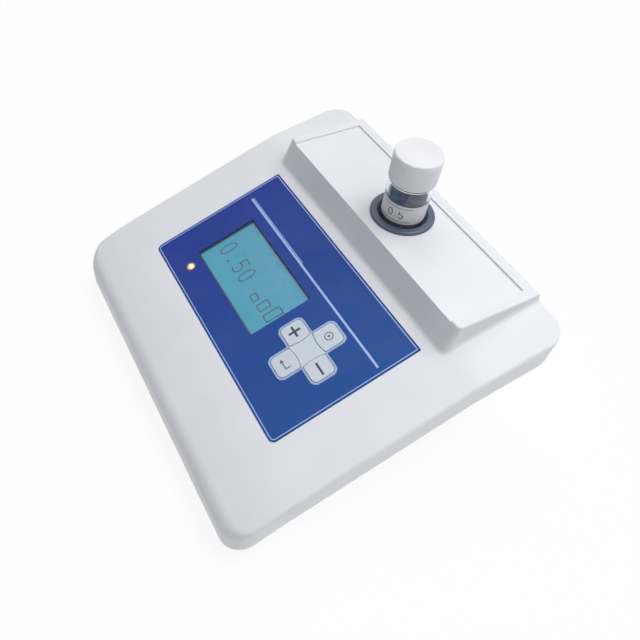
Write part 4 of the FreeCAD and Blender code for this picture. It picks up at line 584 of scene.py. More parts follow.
@dataclass(frozen=True)
class FlatLead(Finish):
    """Flat lead of side-by-side wires: one rib for each wire."""

    colour: Rgb = (176, 178, 184)
    pitch: float = 1.27 * MM

    def wire(self, graph: Graph, shader: bpy.types.Node) -> None:
        """A wave across the lead gives a rib for each wire and a darker line of painted shade in the
        groove between.
        """
        place = graph.place()
        ribs = graph.node("ShaderNodeTexWave", {"Vector": place, "Scale": 0.314 / self.pitch},
                          wave_type="BANDS", bands_direction="X").outputs["Fac"]
        # painted shade: darker colour in the grooves between the wires
        painted_groove_shade = graph.spread(ribs, 0.0, 0.35, 0.55, 0.0)
        tone = graph.blend(painted_groove_shade, linear(self.colour), linear((104, 106, 112)))
        soiled = graph.spread(graph.noise(place, 140.0, 3.0), 0.45, 0.75, 0.0, 0.2)
        graph.feed(shader.inputs["Base Color"],
                   graph.blend(soiled, tone, linear((150, 148, 142))))
        graph.feed(shader.inputs["Roughness"], graph.spread(soiled, 0.0, 0.2, 0.42, 0.6))
        graph.feed(shader.inputs["Normal"], self.bump(graph, ribs, 0.25 * MM))


@dataclass(frozen=True)
class Glow(Finish):
    """Diffuse dome of the lit indicator, warmer towards its foot."""

    heart: Rgb
    rim: Rgb
    strength: float

    def wire(self, graph: Graph, shader: bpy.types.Node) -> None:
        """Colour runs from the rim to the heart with the surface's upward look."""
        normal = graph.node("ShaderNodeNewGeometry").outputs["Normal"]
        up = graph.node("ShaderNodeSeparateXYZ", {0: normal}).outputs["Z"]
        speckle = graph.spread(graph.noise(graph.place(), 2400.0, 2.0), 0.3, 0.7, -0.1, 0.1)
        share = graph.maths("ADD", graph.spread(up, 0.45, 0.9, 0.0, 1.0), speckle, clamp=True)
        tone = graph.blend(share, linear(self.rim), linear(self.heart))
        graph.feed(shader.inputs["Base Color"], tone)
        graph.feed(shader.inputs["Emission Color"], tone)
        graph.feed(shader.inputs["Emission Strength"], self.strength)
        graph.feed(shader.inputs["Roughness"], graph.spread(speckle, -0.1, 0.1, 0.2, 0.3))


class Finishes:
    """Every finish of the meter, by what it is on."""

    casing = Moulding("casing_plastic", (234, 236, 241), dust=0.04, mottle=0.02)
    base = Moulding("base_plastic", (226, 228, 233), roughness=0.5, dust=0.0)
    film = PrintedFilm("panel_film", (32, 54, 144), (34, 80, 152))
    print_line = Ink("panel_line_ink", (164, 188, 234), 0.42)
    window = ClearSheet("display_window_clear", (150, 170, 176), 0.05)
    crystal = CrystalFace("crystal_face", (30, 156, 184), (26, 144, 180))
    # painted shadow: a dark band round the lit face of the display, laid where the window's edge
    # throws its shade
    painted_shadow = Ink("display_painted_shadow_ink", (28, 48, 56), 0.35)
    reading = Ink("display_reading_ink", (8, 56, 96), 0.35)
    # painted shade: the dark blue-grey edge colour darkens the keys' rounded rims
    key = Moulding("key_plastic", (208, 218, 228), roughness=0.42, grain=0.35 * MM,
                   depth=0.01 * MM, edge=(70, 86, 116), edge_share=0.8, dust=0.02)
    cross = KeypadPlastic("keypad_cross_plastic", (204, 215, 226), (152, 178, 222))
    key_ink = Ink("key_symbol_ink", (48, 58, 76), 0.5)
    small_key_ink = Ink("key_small_symbol_ink", (78, 92, 110), 0.5)
    lamp = Glow("indicator_dome", (255, 246, 206), (250, 214, 140), 0.42)
    lamp_rim = Moulding("indicator_rim_plastic", (196, 150, 104), edge=(220, 182, 140), dust=0.0)
    # painted highlight: the paler edge colour lightens the collar's rims
    collar = Moulding("collar_plastic", (78, 91, 112), roughness=0.32, grain=0.4 * MM,
                      depth=0.015 * MM, edge=(120, 130, 152), edge_share=0.45, dust=0.06)
    cell = Moulding("cell_block_plastic", (34, 36, 41), roughness=0.6, edge=(72, 74, 80), dust=0.0)
    glass = Glass("vial_glass_clear")
    sample = Suspension("sample_suspension")
    label = Paper("label_paper_white", (219, 221, 224))
    label_ink = Ink("label_ink", (58, 60, 68), 0.6)
    cap = Moulding("cap_plastic", (240, 240, 243), roughness=0.4, grain=0.3 * MM,
                   depth=0.012 * MM, edge=(244, 244, 246), edge_share=0.4, dust=0.04)
    liner = Moulding("liner_foam_white", (228, 226, 218), roughness=0.8, grain=0.25 * MM,
                     depth=0.06 * MM, dust=0.0)
    steel = Metal("screw_steel", (196, 198, 202))
    sheet = Metal("display_frame_steel", (120, 126, 132), 0.38)
    brass = Metal("terminal_brass_plate", (206, 172, 98), 0.3)
    contact = Metal("contact_tin", (206, 208, 212), 0.26)
    can = Metal("capacitor_can", (178, 182, 188), 0.34, (2400.0, 2400.0, 60.0))
    board = CircuitBoard("board_mask")
    lead = FlatLead("flat_lead")
    rubber = Rubber("foot_rubber_black")
    black = Moulding("black_moulding", (34, 35, 38), roughness=0.42, edge=(92, 94, 98),
                     edge_share=0.3, dust=0.0)
    chip = Moulding("chip_epoxy", (30, 31, 33), roughness=0.6, grain=0.15 * MM, edge=(64, 64, 66),
                    dust=0.0)
    backlight = Moulding("backlight_white", (232, 238, 240), roughness=0.35, dust=0.0)
    crystal_cell = CrystalFace("crystal_cell", (86, 146, 160), (80, 138, 156), 0.0)
    white = Moulding("white_moulding", (226, 226, 222), roughness=0.42, dust=0.0)
    lens = ClearSheet("lens_clear", (222, 232, 236), 0.25)
    sensor = Moulding("sensor_epoxy", (26, 20, 30), roughness=0.22, edge=(60, 50, 66), dust=0.0)
    switch_mark = Ink("switch_mark_ink", (226, 228, 230), 0.5)


# Surfaces


@dataclass(frozen=True)
class Shell:
    """Closed surface: its points and its faces."""

    points: Points
    faces: list[list[int]]

    def moved(self, place: Callable[[Points], Points]) -> Shell:
        """Returns the shell with all its points put through a function."""
        return Shell(place(self.points), self.faces)

    @staticmethod
    def joined(shells: Iterable[Shell]) -> Shell:
        """Returns several shells as one."""
        points, faces, count = [], [], 0
        for shell in shells:
            points.append(shell.points)
            faces += [[index + count for index in face] for face in shell.faces]
            count += len(shell.points)
        return Shell(np.vstack(points), faces)


@dataclass(frozen=True)
class PanelPlane:
    """The sloping panel's own coordinates u, v and h."""

    origin: tuple[float, float, float] = (0.0, -0.014, 0.060)
    slope: float = math.radians(20.0)

    def place(self, points: Points) -> Points:
        """Panel coordinates to the part's: h tips forward and v climbs with the slope.

        Args:
            points: Rows of u, v and h.

        Returns:
            Rows of x, y and z.
        """
        u, v, h = points.T
        rise, run = math.sin(self.slope), math.cos(self.slope)
        return np.column_stack((self.origin[0] + u, self.origin[1] + v * run - h * rise,
                                self.origin[2] + v * rise + h * run))

    def back(self, centre: tuple[float, float]) -> tuple[float, float, float]:
        """Returns the shift that brings a place on the panel to the origin after the turn."""
        x, y, z = self.origin
        rise, run = math.sin(self.slope), math.cos(self.slope)
        return (-x - centre[0], -(y * run + z * rise) - centre[1], -(z * run - y * rise))


def prism(outline: Points, low: float, high: float) -> Shell:
    """Thin plate on a plane outline: the outline at two heights, closed by its sides.

    Args:
        outline: Rows of u and v, anticlockwise.
        low: Height of the lower face.
        high: Height of the upper face.

    Returns:
        The closed plate.
    """
    count = len(outline)
    points = np.vstack([np.column_stack((outline, np.full(count, h))) for h in (low, high)])
    first = np.arange(count)
    after = (first + 1) % count
    sides = np.column_stack((first, after, after + count, first + count)).tolist()
    return Shell(points, [first[::-1].tolist(), (first + count).tolist()] + sides)


def band(left: Points, right: Points, low: float, high: float, closed: bool) -> Shell:
    """Thin solid between two lines with the same number of points, closed at its ends or on itself.

    Args:
        left: Rows of u and v along one side.
        right: Rows of u and v along the other side.
        low: Height of the lower face.
        high: Height of the upper face.
        closed: Whether the last points join the first.

    Returns:
        The closed band.
    """
    count = len(left)
    points = np.vstack([np.column_stack((line, np.full(count, h)))
                        for h in (low, high) for line in (left, right)])
    first = np.arange(count if closed else count - 1)
    after = (first + 1) % count
    left_low, right_low, left_high, right_high = (first + k * count for k in range(4))
    left_low2, right_low2, left_high2, right_high2 = (after + k * count for k in range(4))
    quads = [(right_low, left_low, left_low2, right_low2),
             (left_high, right_high, right_high2, left_high2),
             (left_low, left_high, left_high2, left_low2),
             (right_high, right_low, right_low2, right_high2)]
    faces = np.vstack([np.column_stack(quad) for quad in quads]).tolist()
    if not closed:
        last = count - 1
        faces.append([0, count, 3 * count, 2 * count])
        faces.append([last, 2 * count + last, 3 * count + last, count + last])
    return Shell(points, faces)


def stroke(path: Points, width: float, low: float, high: float, closed: bool = False) -> Shell:
    """Line of even width along a path: its points are moved along the mitred normals.

    Args:
        path: Rows of u and v.
        width: Width of the line.
        low: Height of its lower face.
        high: Height of its upper face.
        closed: Whether the path returns to its start.

    Returns:
        The line as a thin solid.
    """
    if closed:
        before, after = path - np.roll(path, 1, axis=0), np.roll(path, -1, axis=0) - path
    else:
        runs = np.diff(path, axis=0)
        before, after = np.vstack((runs[:1], runs)), np.vstack((runs, runs[-1:]))
    before = before / np.linalg.norm(before, axis=1, keepdims=True)
    after = after / np.linalg.norm(after, axis=1, keepdims=True)
    normal = np.column_stack((-before[:, 1], before[:, 0]))
    mitre = normal + np.column_stack((-after[:, 1], after[:, 0]))
    mitre = mitre / np.sum(mitre * normal, axis=1, keepdims=True)
    return band(path + mitre * width / 2, path - mitre * width / 2, low, high, closed)


def arc(centre: Sequence[float], radius: float | tuple[float, float], start: float, end: float,
        count: int) -> Points:
    """Points on a circle or ellipse: the centre plus the radii times cosine and sine.

    Args:
        centre: Its middle.
        radius: One radius, or one for each axis.
        start: First angle in degrees.
        end: Last angle in degrees.
        count: Number of points.

    Returns:
        Rows of u and v.
    """
    turn = np.radians(np.linspace(start, end, count))
    across, up = radius if isinstance(radius, tuple) else (radius, radius)
    return np.column_stack((centre[0] + across * np.cos(turn), centre[1] + up * np.sin(turn)))


def rounded_rectangle(centre: Sequence[float], half: Sequence[float],
                      radii: Sequence[float], count: int = 8) -> Points:
    """Rectangle with an arc at each corner, anticlockwise from the lower left.

    Args:
        centre: Its middle.
        half: Half its width and half its height.
        radii: Radii of the corners, lower left first.
        count: Points on each arc.

    Returns:
        Rows of u and v.
    """
    signs = ((-1, -1), (1, -1), (1, 1), (-1, 1))
    starts = (180, 270, 0, 90)
    arcs = [arc((centre[0] + a * (half[0] - r), centre[1] + b * (half[1] - r)), max(r, 1e-6),
                start, start + 90, count)
            for (a, b), r, start in zip(signs, radii, starts)]
    return np.vstack(arcs)


def add_piece(name: str, shell: Shell, finish: Finish, body: Body, slot: Slot) -> Piece:
    """Makes a mesh piece, dresses it and lets it ride on a body.

    Args:
        name: Name of the piece.
        shell: Its closed surface in the part's frame.
        finish: What it is made of.
        body: The body that it moves with.
        slot: The record's material slot named for the piece; not used.

    Returns:
        The new object.
    """
    mesh = bpy.data.meshes.new(name)
    mesh.from_pydata(shell.points.tolist(), [], shell.faces)
    mesh.validate()
    mesh.update()
    piece = bpy.data.objects.new(name, mesh)
    bpy.context.scene.collection.objects.link(piece)
    mesh.materials.append(finish.material())
    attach(piece, body.value)
    LOG.info("piece %s: %d faces, rides on %s", name, len(shell.faces), body.value)
    return piece


@dataclass
class SubAssembly:
    """A group of nodes with their finishes, and the new pieces that belong with them."""

    nodes: dict[str, bpy.types.Object]
    finishes: dict[str, Finish] = field(default_factory=dict)

    def dress(self) -> None:
        """Gives each node of this group its finish."""
        for name, finish in self.finishes.items():
            node = self.nodes[name]
            for slot in node.material_slots:
                slot.material = finish.material()
            LOG.info("node %s: %s", name, finish.name)

    def build(self) -> None:
        """Makes the new pieces of this group; a plain group has none."""


# Sub-assemblies


@dataclass
class Casing(SubAssembly):
    """Upper and lower shells, their screws and the feet."""

    finishes: dict[str, Finish] = field(default_factory=lambda: {
        "upper_shell": Finishes.casing, "lower_shell": Finishes.base,
        "case_screws": Finishes.steel, "rubber_feet": Finishes.rubber})


@dataclass
class MembranePanel(SubAssembly):
    """Blue film of the panel with its printed lines."""

    finishes: dict[str, Finish] = field(default_factory=lambda: {
        "panel_overlay": Finishes.film, "power_led": Finishes.lamp,
        "led_rim": Finishes.lamp_rim})
    half_width: float = 78.3 * MM
    half_height: float = 45.85 * MM
    top: float = 0.2 * MM
    print_height: float = 0.015 * MM
    line_inset: float = 1.3 * MM
    line_width: float = 0.5 * MM
    front_corner: float = 3.5 * MM
    rear_line_corner: float = 0.2 * MM
    rule_v: float = 22.2 * MM
    rule_width: float = 1.3 * MM
    rule_ends: tuple[float, float] = (-71.4 * MM, 73.8 * MM)
    second_rule_gap: float = 1.15 * MM
    second_rule_width: float = 0.45 * MM
    second_rule_end: float = -7.4 * MM

    def build(self) -> None:
        """Prints the border line and the rules below the rear field."""
        plane, low, high = PanelPlane(), self.top, self.top + self.print_height
        half = (self.half_width - self.line_inset, self.half_height - self.line_inset)
        front = self.front_corner - self.line_inset
        rear = self.rear_line_corner
        border = stroke(rounded_rectangle((0, 0), half, (front, front, rear, rear)),
                        self.line_width, low, high, closed=True)
        start, end = self.rule_ends
        v, w = self.rule_v, self.rule_width / 2
        rule = prism(np.array([(start, v - w), (end, v - w), (end, v + w), (start, v + w)]),
                     low, high)
        v2, w2 = v + w + self.second_rule_gap / 2, self.second_rule_width / 2
        slant = self.second_rule_gap
        second = prism(np.array([(start, v2 - w2), (self.second_rule_end, v2 - w2),
                                 (self.second_rule_end - slant, v2 + w2), (start, v2 + w2)]),
                       low, high)
        for name, shell in (("panel_border_line", border), ("panel_rule", rule),
                            ("panel_second_rule", second)):
            add_piece(name, shell.moved(plane.place), Finishes.print_line, Body.HOUSING,
                      Slot.PANEL_PRINT)


@dataclass
class DisplayModule(SubAssembly):
    """Liquid crystal display under its window: the module, the lit face and its reading."""

    finishes: dict[str, Finish] = field(default_factory=lambda: {
        "display_window": Finishes.window, "display_frame": Finishes.sheet,
        "display_glass": Finishes.crystal_cell, "display_backlight": Finishes.backlight,
        "display_board": Finishes.board, "display_screws": Finishes.steel,
        "display_ribbon": Finishes.lead})
    centre: tuple[float, float] = (-20.4 * MM, -5.2 * MM)
    half: tuple[float, float] = (36.0 * MM, 20.0 * MM)
    glass_top: float = -2.0 * MM
    face_top: float = -1.62 * MM
    # width of the painted shadow band round the lit face
    painted_shadow_width: float = 0.7 * MM
    side_room: float = 0.1 * MM
    reading_height: float = 0.02 * MM
    first_cell: float = -48.2 * MM
    cell_pitch: float = 8.38 * MM
    glyph: tuple[float, float] = (5.0 * MM, 11.0 * MM)
    baseline: float = -13.3 * MM
    line_width: float = 0.8 * MM
    point_radius: float = 0.85 * MM

    def build(self) -> None:
        """Lays the lit face, a dark band of painted shadow round it and the reading on the glass."""
        plane = PanelPlane()
        half = (self.half[0] - self.side_room, self.half[1] - self.side_room)
        inner = (half[0] - self.painted_shadow_width, half[1] - self.painted_shadow_width)
        corners = (0.05 * MM,) * 4
        outline = rounded_rectangle(self.centre, half, corners, 3)
        inside = rounded_rectangle(self.centre, inner, corners, 3)
        # painted shadow: a dark band between the lit face and the edge of the opening
        painted_shadow = band(inside, outline, self.glass_top, self.face_top, closed=True)
        face = prism(inside, self.glass_top, self.face_top)
        add_piece("display_painted_shadow", painted_shadow.moved(plane.place), Finishes.painted_shadow, Body.HOUSING,
                  Slot.DARK_INK)
        add_piece("display_face", face.moved(plane.place), Finishes.crystal, Body.HOUSING,
                  Slot.DISPLAY)
        add_piece("display_reading", self.reading().moved(plane.place), Finishes.reading,
                  Body.HOUSING, Slot.DARK_INK)

    def reading(self) -> Shell:
        """Returns the plain number and a rising row of level bars, one glyph to a cell."""
        low, high = self.face_top, self.face_top + self.reading_height
        width, height = self.glyph
        glyphs = {0: (digit_zero(width, height), True), 2: (digit_five(width, height), False),
                  3: (digit_zero(width, height), True)}
        for cell, share in ((5, 0.36), (6, 0.68), (7, 1.0)):
            half = (width / 2, height * share / 2)
            glyphs[cell] = (rounded_rectangle((0, half[1]), half, (0.4 * MM,) * 4, 4), True)
        lines = [stroke(path + self.cell_place(cell), self.line_width, low, high, closed)
                 for cell, (path, closed) in glyphs.items()]
        point = arc((0, self.point_radius), self.point_radius, 0, 330, 12) + self.cell_place(1)
        return Shell.joined(lines + [prism(point, low, high)])

    def cell_place(self, cell: int) -> Points:
        """Returns the foot of a cell's middle line."""
        return np.array((self.first_cell + cell * self.cell_pitch, self.baseline))


def digit_zero(width: float, height: float) -> Points:
    """Closed outline of a nought: an ellipse squared a little by a power of its cosine and sine."""
    turn = np.linspace(0, 2 * np.pi, 40, endpoint=False)
    squared = [np.sign(f(turn)) * np.abs(f(turn)) ** 0.8 for f in (np.cos, np.sin)]
    return np.column_stack((squared[0] * width / 2, height / 2 + squared[1] * height / 2))


def digit_five(width: float, height: float) -> Points:
    """Path of a five: along the top, down, then round the bowl on an ellipse."""
    straight = np.array([(width / 2, height), (-width / 2 + 0.1 * width, height),
                         (-width / 2, height * 0.56)])
    bowl = arc((-0.08 * width, height * 0.31), (0.58 * width, height * 0.31), 118, -138, 24)
    return np.vstack((straight, bowl))


@dataclass
class Keypad(SubAssembly):
    """Cross of four keys with their symbols."""

    finishes: dict[str, Finish] = field(default_factory=lambda: {
        "key_bezel": Finishes.cross, "keypad_board": Finishes.board,
        "keypad_switches": Finishes.black, "keypad_screws": Finishes.steel,
        "keypad_ribbon": Finishes.lead, "key_plus": Finishes.key, "key_minus": Finishes.key,
        "key_calibrate": Finishes.key, "key_enter": Finishes.key,
        "plunger_plus": Finishes.white, "plunger_minus": Finishes.white,
        "plunger_calibrate": Finishes.white, "plunger_enter": Finishes.white})
    centre = (43.0 * MM, -3.4 * MM)
    side_key: float = 13.8 * MM
    end_key: float = 14.25 * MM
    key_top: float = 0.85 * MM
    ink_height: float = 0.02 * MM
    plus_half: tuple[float, float] = (3.7 * MM, 0.72 * MM)
    minus_half: tuple[float, float] = (4.1 * MM, 0.65 * MM)
    minus_corner: float = 0.15 * MM
    target_radius: float = 2.35 * MM
    target_dot: float = 0.75 * MM
    line_width: float = 0.6 * MM
    arrow_width: float = 0.65 * MM
    arrow_reach: float = 3.1 * MM
    arrow_rise: float = 2.1 * MM
    arrow_level: float = -0.9 * MM
    arrow_foot: float = -1.6 * MM
    head_base: float = -1.3 * MM
    head_tip: float = -3.4 * MM
    head_half: float = 1.4 * MM

    def build(self) -> None:
        """Prints a plus, a minus, a target and a return arrow, each on its own key."""
        u, v = self.centre
        places = {Body.KEY_PLUS: (u - self.side_key, v), Body.KEY_MINUS: (u + self.side_key, v),
                  Body.KEY_CALIBRATE: (u, v + self.end_key), Body.KEY_ENTER: (u, v - self.end_key)}
        symbols = {Body.KEY_PLUS: ("plus_symbol", self.plus(), Finishes.key_ink),
                   Body.KEY_MINUS: ("minus_symbol", self.minus(), Finishes.key_ink),
                   Body.KEY_CALIBRATE: ("target_symbol", self.target(), Finishes.small_key_ink),
                   Body.KEY_ENTER: ("return_symbol", self.arrow(), Finishes.small_key_ink)}
        plane = PanelPlane()
        for body, (name, shell, finish) in symbols.items():
            shift = np.array((*places[body], 0.0))
            add_piece(name, shell.moved(lambda p, s=shift: plane.place(p + s)), finish, body,
                      Slot.DARK_INK)

    def _levels(self) -> tuple[float, float]:
        """Returns the heights of the symbols' lower and upper faces."""
        return self.key_top, self.key_top + self.ink_height

    def plus(self) -> Shell:
        """Two crossed bars in one outline."""
        reach, half = self.plus_half
        quarter_turn = np.array([(0, 1), (-1, 0)])
        outline = [np.array([(reach, -half), (reach, half), (half, half)])]
        for _ in range(3):
            outline.append(outline[-1] @ quarter_turn)
        return prism(np.vstack(outline), *self._levels())

    def minus(self) -> Shell:
        """One bar across the key."""
        outline = rounded_rectangle((0, 0), self.minus_half, (self.minus_corner,) * 4, 4)
        return prism(outline, *self._levels())

    def target(self) -> Shell:
        """Ring with a dot in it: the sign for setting the meter with a standard."""
        ring = stroke(arc((0, 0), self.target_radius, 0, 350, 36), self.line_width,
                      *self._levels(), closed=True)
        dot = prism(arc((0, 0), self.target_dot, 0, 345, 24), *self._levels())
        return Shell.joined([ring, dot])

    def arrow(self) -> Shell:
        """Return arrow: a bent line and a head that points back."""
        reach, level = self.arrow_reach, self.arrow_level
        bend = np.array([(reach, self.arrow_rise), (reach, level), (self.arrow_foot, level)])
        head = np.array([(self.head_tip, level), (self.head_base, level - self.head_half),
                         (self.head_base, level + self.head_half)])
        return Shell.joined([stroke(bend, self.arrow_width, *self._levels()),
                             prism(head, *self._levels())])


@dataclass
class SampleVial(SubAssembly):
    """Glass vial with its sample, label, liner and ribbed cap."""

    finishes: dict[str, Finish] = field(default_factory=lambda: {
        "vial_glass": Finishes.glass, "vial_suspension": Finishes.sample,
        "vial_label": Finishes.label, "cap_liner": Finishes.liner, "vial_cap": Finishes.cap})
    axis: tuple[float, float] = (2.6 * MM, 65.5 * MM)
    label_radius: float = 12.72 * MM
    label_middle: float = 103.2 * MM
    facing: float = -62.0
    ink_height: float = 0.015 * MM
    glyph: tuple[float, float] = (2.5 * MM, 4.2 * MM)
    glyph_step: float = 3.4 * MM
    glyph_line: float = 0.6 * MM
    rule_half: float = 9.0 * MM
    rule_rise: float = 4.4 * MM
    rule_line: float = 0.3 * MM

    def build(self) -> None:
        """Prints a plain number and two rules on the label."""
        low, high = 0.0, self.ink_height
        (width, height), step, line = self.glyph, self.glyph_step, self.glyph_line
        shift = np.array((0.0, -height / 2))
        lines = [stroke(digit_zero(width, height) + shift - (step, 0), line, low, high, True),
                 prism(arc((0, line - height / 2), line * 0.6, 0, 330, 12), low, high),
                 stroke(digit_five(width, height) + shift + (step * 0.9, 0), line, low, high)]
        across = np.linspace(-self.rule_half, self.rule_half, 37)
        for v in (-self.rule_rise, self.rule_rise):
            run = np.column_stack((across, np.full(len(across), v)))
            lines.append(stroke(run, self.rule_line, low, high))
        add_piece("label_print", Shell.joined(lines).moved(self.wrap), Finishes.label_ink,
                  Body.VIAL, Slot.DARK_INK)

    def wrap(self, points: Points) -> Points:
        """Flat label to the vial: the first coordinate becomes an arc length round the axis."""
        run, up, out = points.T
        turn = math.radians(self.facing) + run / self.label_radius
        radius = self.label_radius + out
        return np.column_stack((self.axis[0] + radius * np.cos(turn),
                                self.axis[1] + radius * np.sin(turn), self.label_middle + up))


@dataclass
class OpticalWell(SubAssembly):
    """Collar, cell block and the lamp and sensors round the vial."""

    finishes: dict[str, Finish] = field(default_factory=lambda: {
        "collar_ring": Finishes.collar, "cell_block": Finishes.cell,
        "cell_block_screws": Finishes.steel, "emitter_lamp": Finishes.lens,
        "emitter_lens": Finishes.lens, "emitter_board": Finishes.board,
        "transmission_sensor": Finishes.sensor, "transmission_board": Finishes.board,
        "scatter_sensor": Finishes.sensor, "scatter_board": Finishes.board,
        "sensor_leads": Finishes.lead})


@dataclass
class Electronics(SubAssembly):
    """Main board and what stands on it."""

    finishes: dict[str, Finish] = field(default_factory=lambda: {
        "main_board": Finishes.board, "main_board_screws": Finishes.steel,
        "board_chips": Finishes.chip, "board_capacitors": Finishes.can,
        "board_connectors": Finishes.white})


@dataclass
class RearPanel(SubAssembly):
    """Power socket and power switch in the rear wall."""

    finishes: dict[str, Finish] = field(default_factory=lambda: {
        "jack_body": Finishes.black, "jack_nut": Finishes.black, "jack_pin": Finishes.contact,
        "power_lead": Finishes.lead, "switch_leads": Finishes.lead,
        "switch_frame": Finishes.black, "switch_terminals": Finishes.brass,
        "power_rocker": Finishes.black})
    pivot: tuple[float, float, float] = (-52.0 * MM, 89.2 * MM, 34.0 * MM)
    valley: float = 3.0 * MM
    tilt: float = math.radians(10.0)
    mark_place: float = 4.9 * MM
    on_half: tuple[float, float] = (0.28 * MM, 1.6 * MM)
    on_corner: float = 0.1 * MM
    off_radius: float = 1.35 * MM
    off_width: float = 0.5 * MM
    ink_height: float = 0.02 * MM

    def build(self) -> None:
        """Prints the strokes for on and off on the two faces of the rocker."""
        low, high = 0.0, self.ink_height
        on = prism(rounded_rectangle((0, 0), self.on_half, (self.on_corner,) * 4, 3), low, high)
        off = stroke(arc((0, 0), self.off_radius, 0, 350, 36), self.off_width, low, high,
                     closed=True)
        shells = [on.moved(lambda p: self.on_face(p, 1)), off.moved(lambda p: self.on_face(p, -1))]
        add_piece("rocker_marks", Shell.joined(shells), Finishes.switch_mark, Body.ROCKER,
                  Slot.LIGHT_INK)

    def on_face(self, points: Points, side: int) -> Points:
        """Flat mark to a face of the rocker: up the face, then turned about the pivot.

        Args:
            points: Rows of across, up and out.
            side: 1 for the upper face, -1 for the lower.

        Returns:
            Rows of x, y and z.
        """
        across, up, out = points.T
        lean = side * self.tilt
        along = up + side * self.mark_place / math.cos(self.tilt)
        y = self.valley + along * math.sin(lean) + out * math.cos(lean)
        z = along * math.cos(lean) - out * math.sin(lean)
        run, rise = math.cos(self.tilt), math.sin(self.tilt)
        return np.column_stack((self.pivot[0] - across, self.pivot[1] + y * run - z * rise,
                                self.pivot[2] + y * rise + z * run))


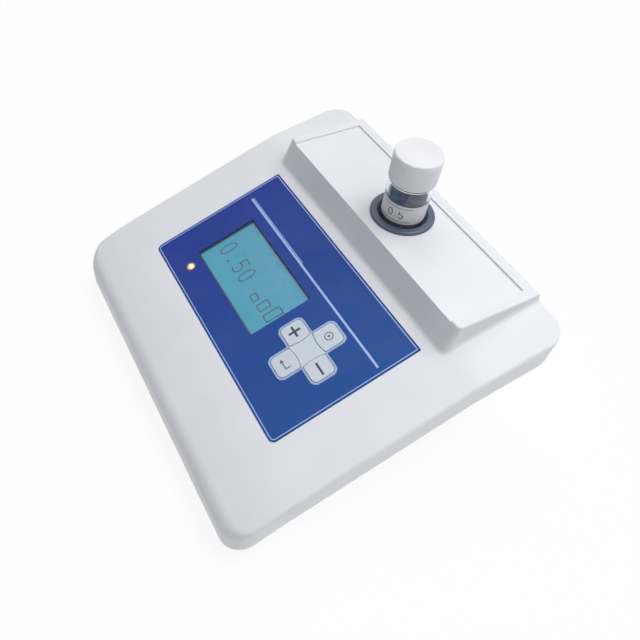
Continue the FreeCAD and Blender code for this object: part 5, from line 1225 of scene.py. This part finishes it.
@dataclass
class Studio:
    """Camera, light and floor of the photograph."""

    camera_place: tuple[float, float, float] = (0.203807, -0.142834, 0.332719)
    camera_turn: tuple[float, float, float, float] = (0.8050903, 0.2968432, 0.1409207, 0.4938168)
    lens: float = 35.226
    sensor: float = 36.0
    shift: tuple[float, float] = (0.06686, 0.01218)
    sky: Rgb = (248, 250, 255)
    sky_strength: float = 0.213
    key_power: float = 0.5
    key_place: tuple[float, float, float] = (0.23, 0.08, 0.50)
    key_target: tuple[float, float, float] = (0.03, 0.0, 0.07)
    key_size: float = 0.32
    top_strength: float = 1.505
    top_towards: tuple[float, float, float] = (0.10, 0.45, 0.88)
    fill_strength: float = 0.66
    fill_towards: tuple[float, float, float] = (-0.45, 0.10, 0.88)
    sun_softness: float = math.radians(40.0)
    floor_half: float = 3.0
    floor_glow: float = 0.90
    floor_drop: float = 0.3 * MM

    def build(self) -> None:
        """Sets up the camera, the world, the lamps and the floor."""
        self.camera()
        self.world()
        self.lamps()
        self.floor()

    def camera(self) -> None:
        """Camera at the photograph's place, with its small shift."""
        data = bpy.data.cameras.new("photo_camera")
        data.lens, data.sensor_width = self.lens, self.sensor
        data.shift_x, data.shift_y = self.shift
        data.clip_start, data.clip_end = 0.01, 20.0
        camera = bpy.data.objects.new("photo_camera", data)
        camera.rotation_mode = "QUATERNION"
        camera.location = self.camera_place
        camera.rotation_quaternion = Quaternion(self.camera_turn)
        bpy.context.scene.collection.objects.link(camera)
        bpy.context.scene.camera = camera

    @staticmethod
    def seen(graph: Graph) -> Socket:
        """Returns 1 for rays from the camera, a reflection or through glass, and 0 for others."""
        path = graph.node("ShaderNodeLightPath").outputs
        direct = graph.maths("MAXIMUM", path["Is Camera Ray"], path["Is Glossy Ray"])
        return graph.maths("MAXIMUM", direct, path["Is Transmission Ray"])

    def world(self) -> None:
        """Soft light from all round; the camera and reflections see plain white."""
        world = bpy.data.worlds.new("studio")
        world.use_nodes = True
        world.node_tree.nodes.clear()
        graph = Graph(world.node_tree)
        soft = graph.node("ShaderNodeBackground", {"Color": linear(self.sky),
                                                   "Strength": self.sky_strength})
        white = graph.node("ShaderNodeBackground", {"Color": (1, 1, 1, 1), "Strength": 1.0})
        both = graph.node("ShaderNodeMixShader", {0: self.seen(graph), 1: soft.outputs[0],
                                                  2: white.outputs[0]})
        graph.node("ShaderNodeOutputWorld", {"Surface": both.outputs[0]})
        bpy.context.scene.world = world

    def lamps(self) -> None:
        """Soft light from above and behind, a fainter one from the left, and a near lamp."""
        key = bpy.data.lights.new("key_lamp", "AREA")
        key.energy, key.size = self.key_power, self.key_size
        self.hang(key, Vector(self.key_place) - Vector(self.key_target))
        for name, strength, towards in (("top_light", self.top_strength, self.top_towards),
                                        ("fill_light", self.fill_strength, self.fill_towards)):
            sun = bpy.data.lights.new(name, "SUN")
            sun.energy, sun.angle = strength, self.sun_softness
            self.hang(sun, Vector(towards))

    def hang(self, data: bpy.types.Light, direction: Vector) -> None:
        """Hangs a lamp over the object, facing away from the direction that it stands in.

        Args:
            data: lamp to hang.
            direction: direction from the object towards the lamp.
        """
        lamp = bpy.data.objects.new(data.name, data)
        lamp.rotation_mode = "QUATERNION"
        lamp.rotation_quaternion = direction.to_track_quat("Z", "Y")
        lamp.location = self.key_place
        lamp.visible_camera = False
        bpy.context.scene.collection.objects.link(lamp)

    def floor(self) -> None:
        """Pale floor that keeps the object's shadow, and lets a view from below through."""
        half, low = self.floor_half, -self.floor_drop
        corners = [(-half, -half, low), (half, -half, low), (half, half, low),
                   (-half, half, low)]
        mesh = bpy.data.meshes.new("floor")
        mesh.from_pydata(corners, [], [(0, 1, 2, 3)])
        floor = bpy.data.objects.new("floor", mesh)
        bpy.context.scene.collection.objects.link(floor)
        material = bpy.data.materials.new("floor_white")
        material.use_nodes = True
        material.node_tree.nodes.clear()
        graph = Graph(material.node_tree)
        matt = graph.node("ShaderNodeBsdfDiffuse", {"Color": (0.99, 0.99, 0.99, 1)})
        glow = graph.node("ShaderNodeEmission", {"Color": (1, 1, 1, 1), "Strength": 1.0})
        share = graph.maths("MULTIPLY", self.seen(graph), self.floor_glow)
        both = graph.node("ShaderNodeMixShader", {0: share, 1: matt.outputs[0],
                                                  2: glow.outputs[0]})
        below = graph.node("ShaderNodeNewGeometry").outputs["Backfacing"]
        clear = graph.node("ShaderNodeBsdfTransparent")
        sides = graph.node("ShaderNodeMixShader", {0: below, 1: both.outputs[0],
                                                   2: clear.outputs[0]})
        graph.node("ShaderNodeOutputMaterial", {"Surface": sides.outputs[0]})
        mesh.materials.append(material)


def main() -> None:
    """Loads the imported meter, dresses it group by group and sets the scene."""
    logging.basicConfig(level=logging.INFO, format="%(name)s: %(message)s")
    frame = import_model()
    groups = [kind(frame["nodes"]) for kind in (Casing, MembranePanel, DisplayModule, Keypad,
                                                SampleVial, OpticalWell, Electronics, RearPanel)]
    for group in groups:
        group.dress()
        group.build()
    undressed = set(frame["nodes"]) - {name for group in groups for name in group.finishes}
    LOG.info("nodes without a finish of their own: %s", sorted(undressed) or "none")
    Studio().build()
    scene = bpy.context.scene
    scene.view_settings.view_transform = "Standard"


if __name__ == "__main__":
    main()
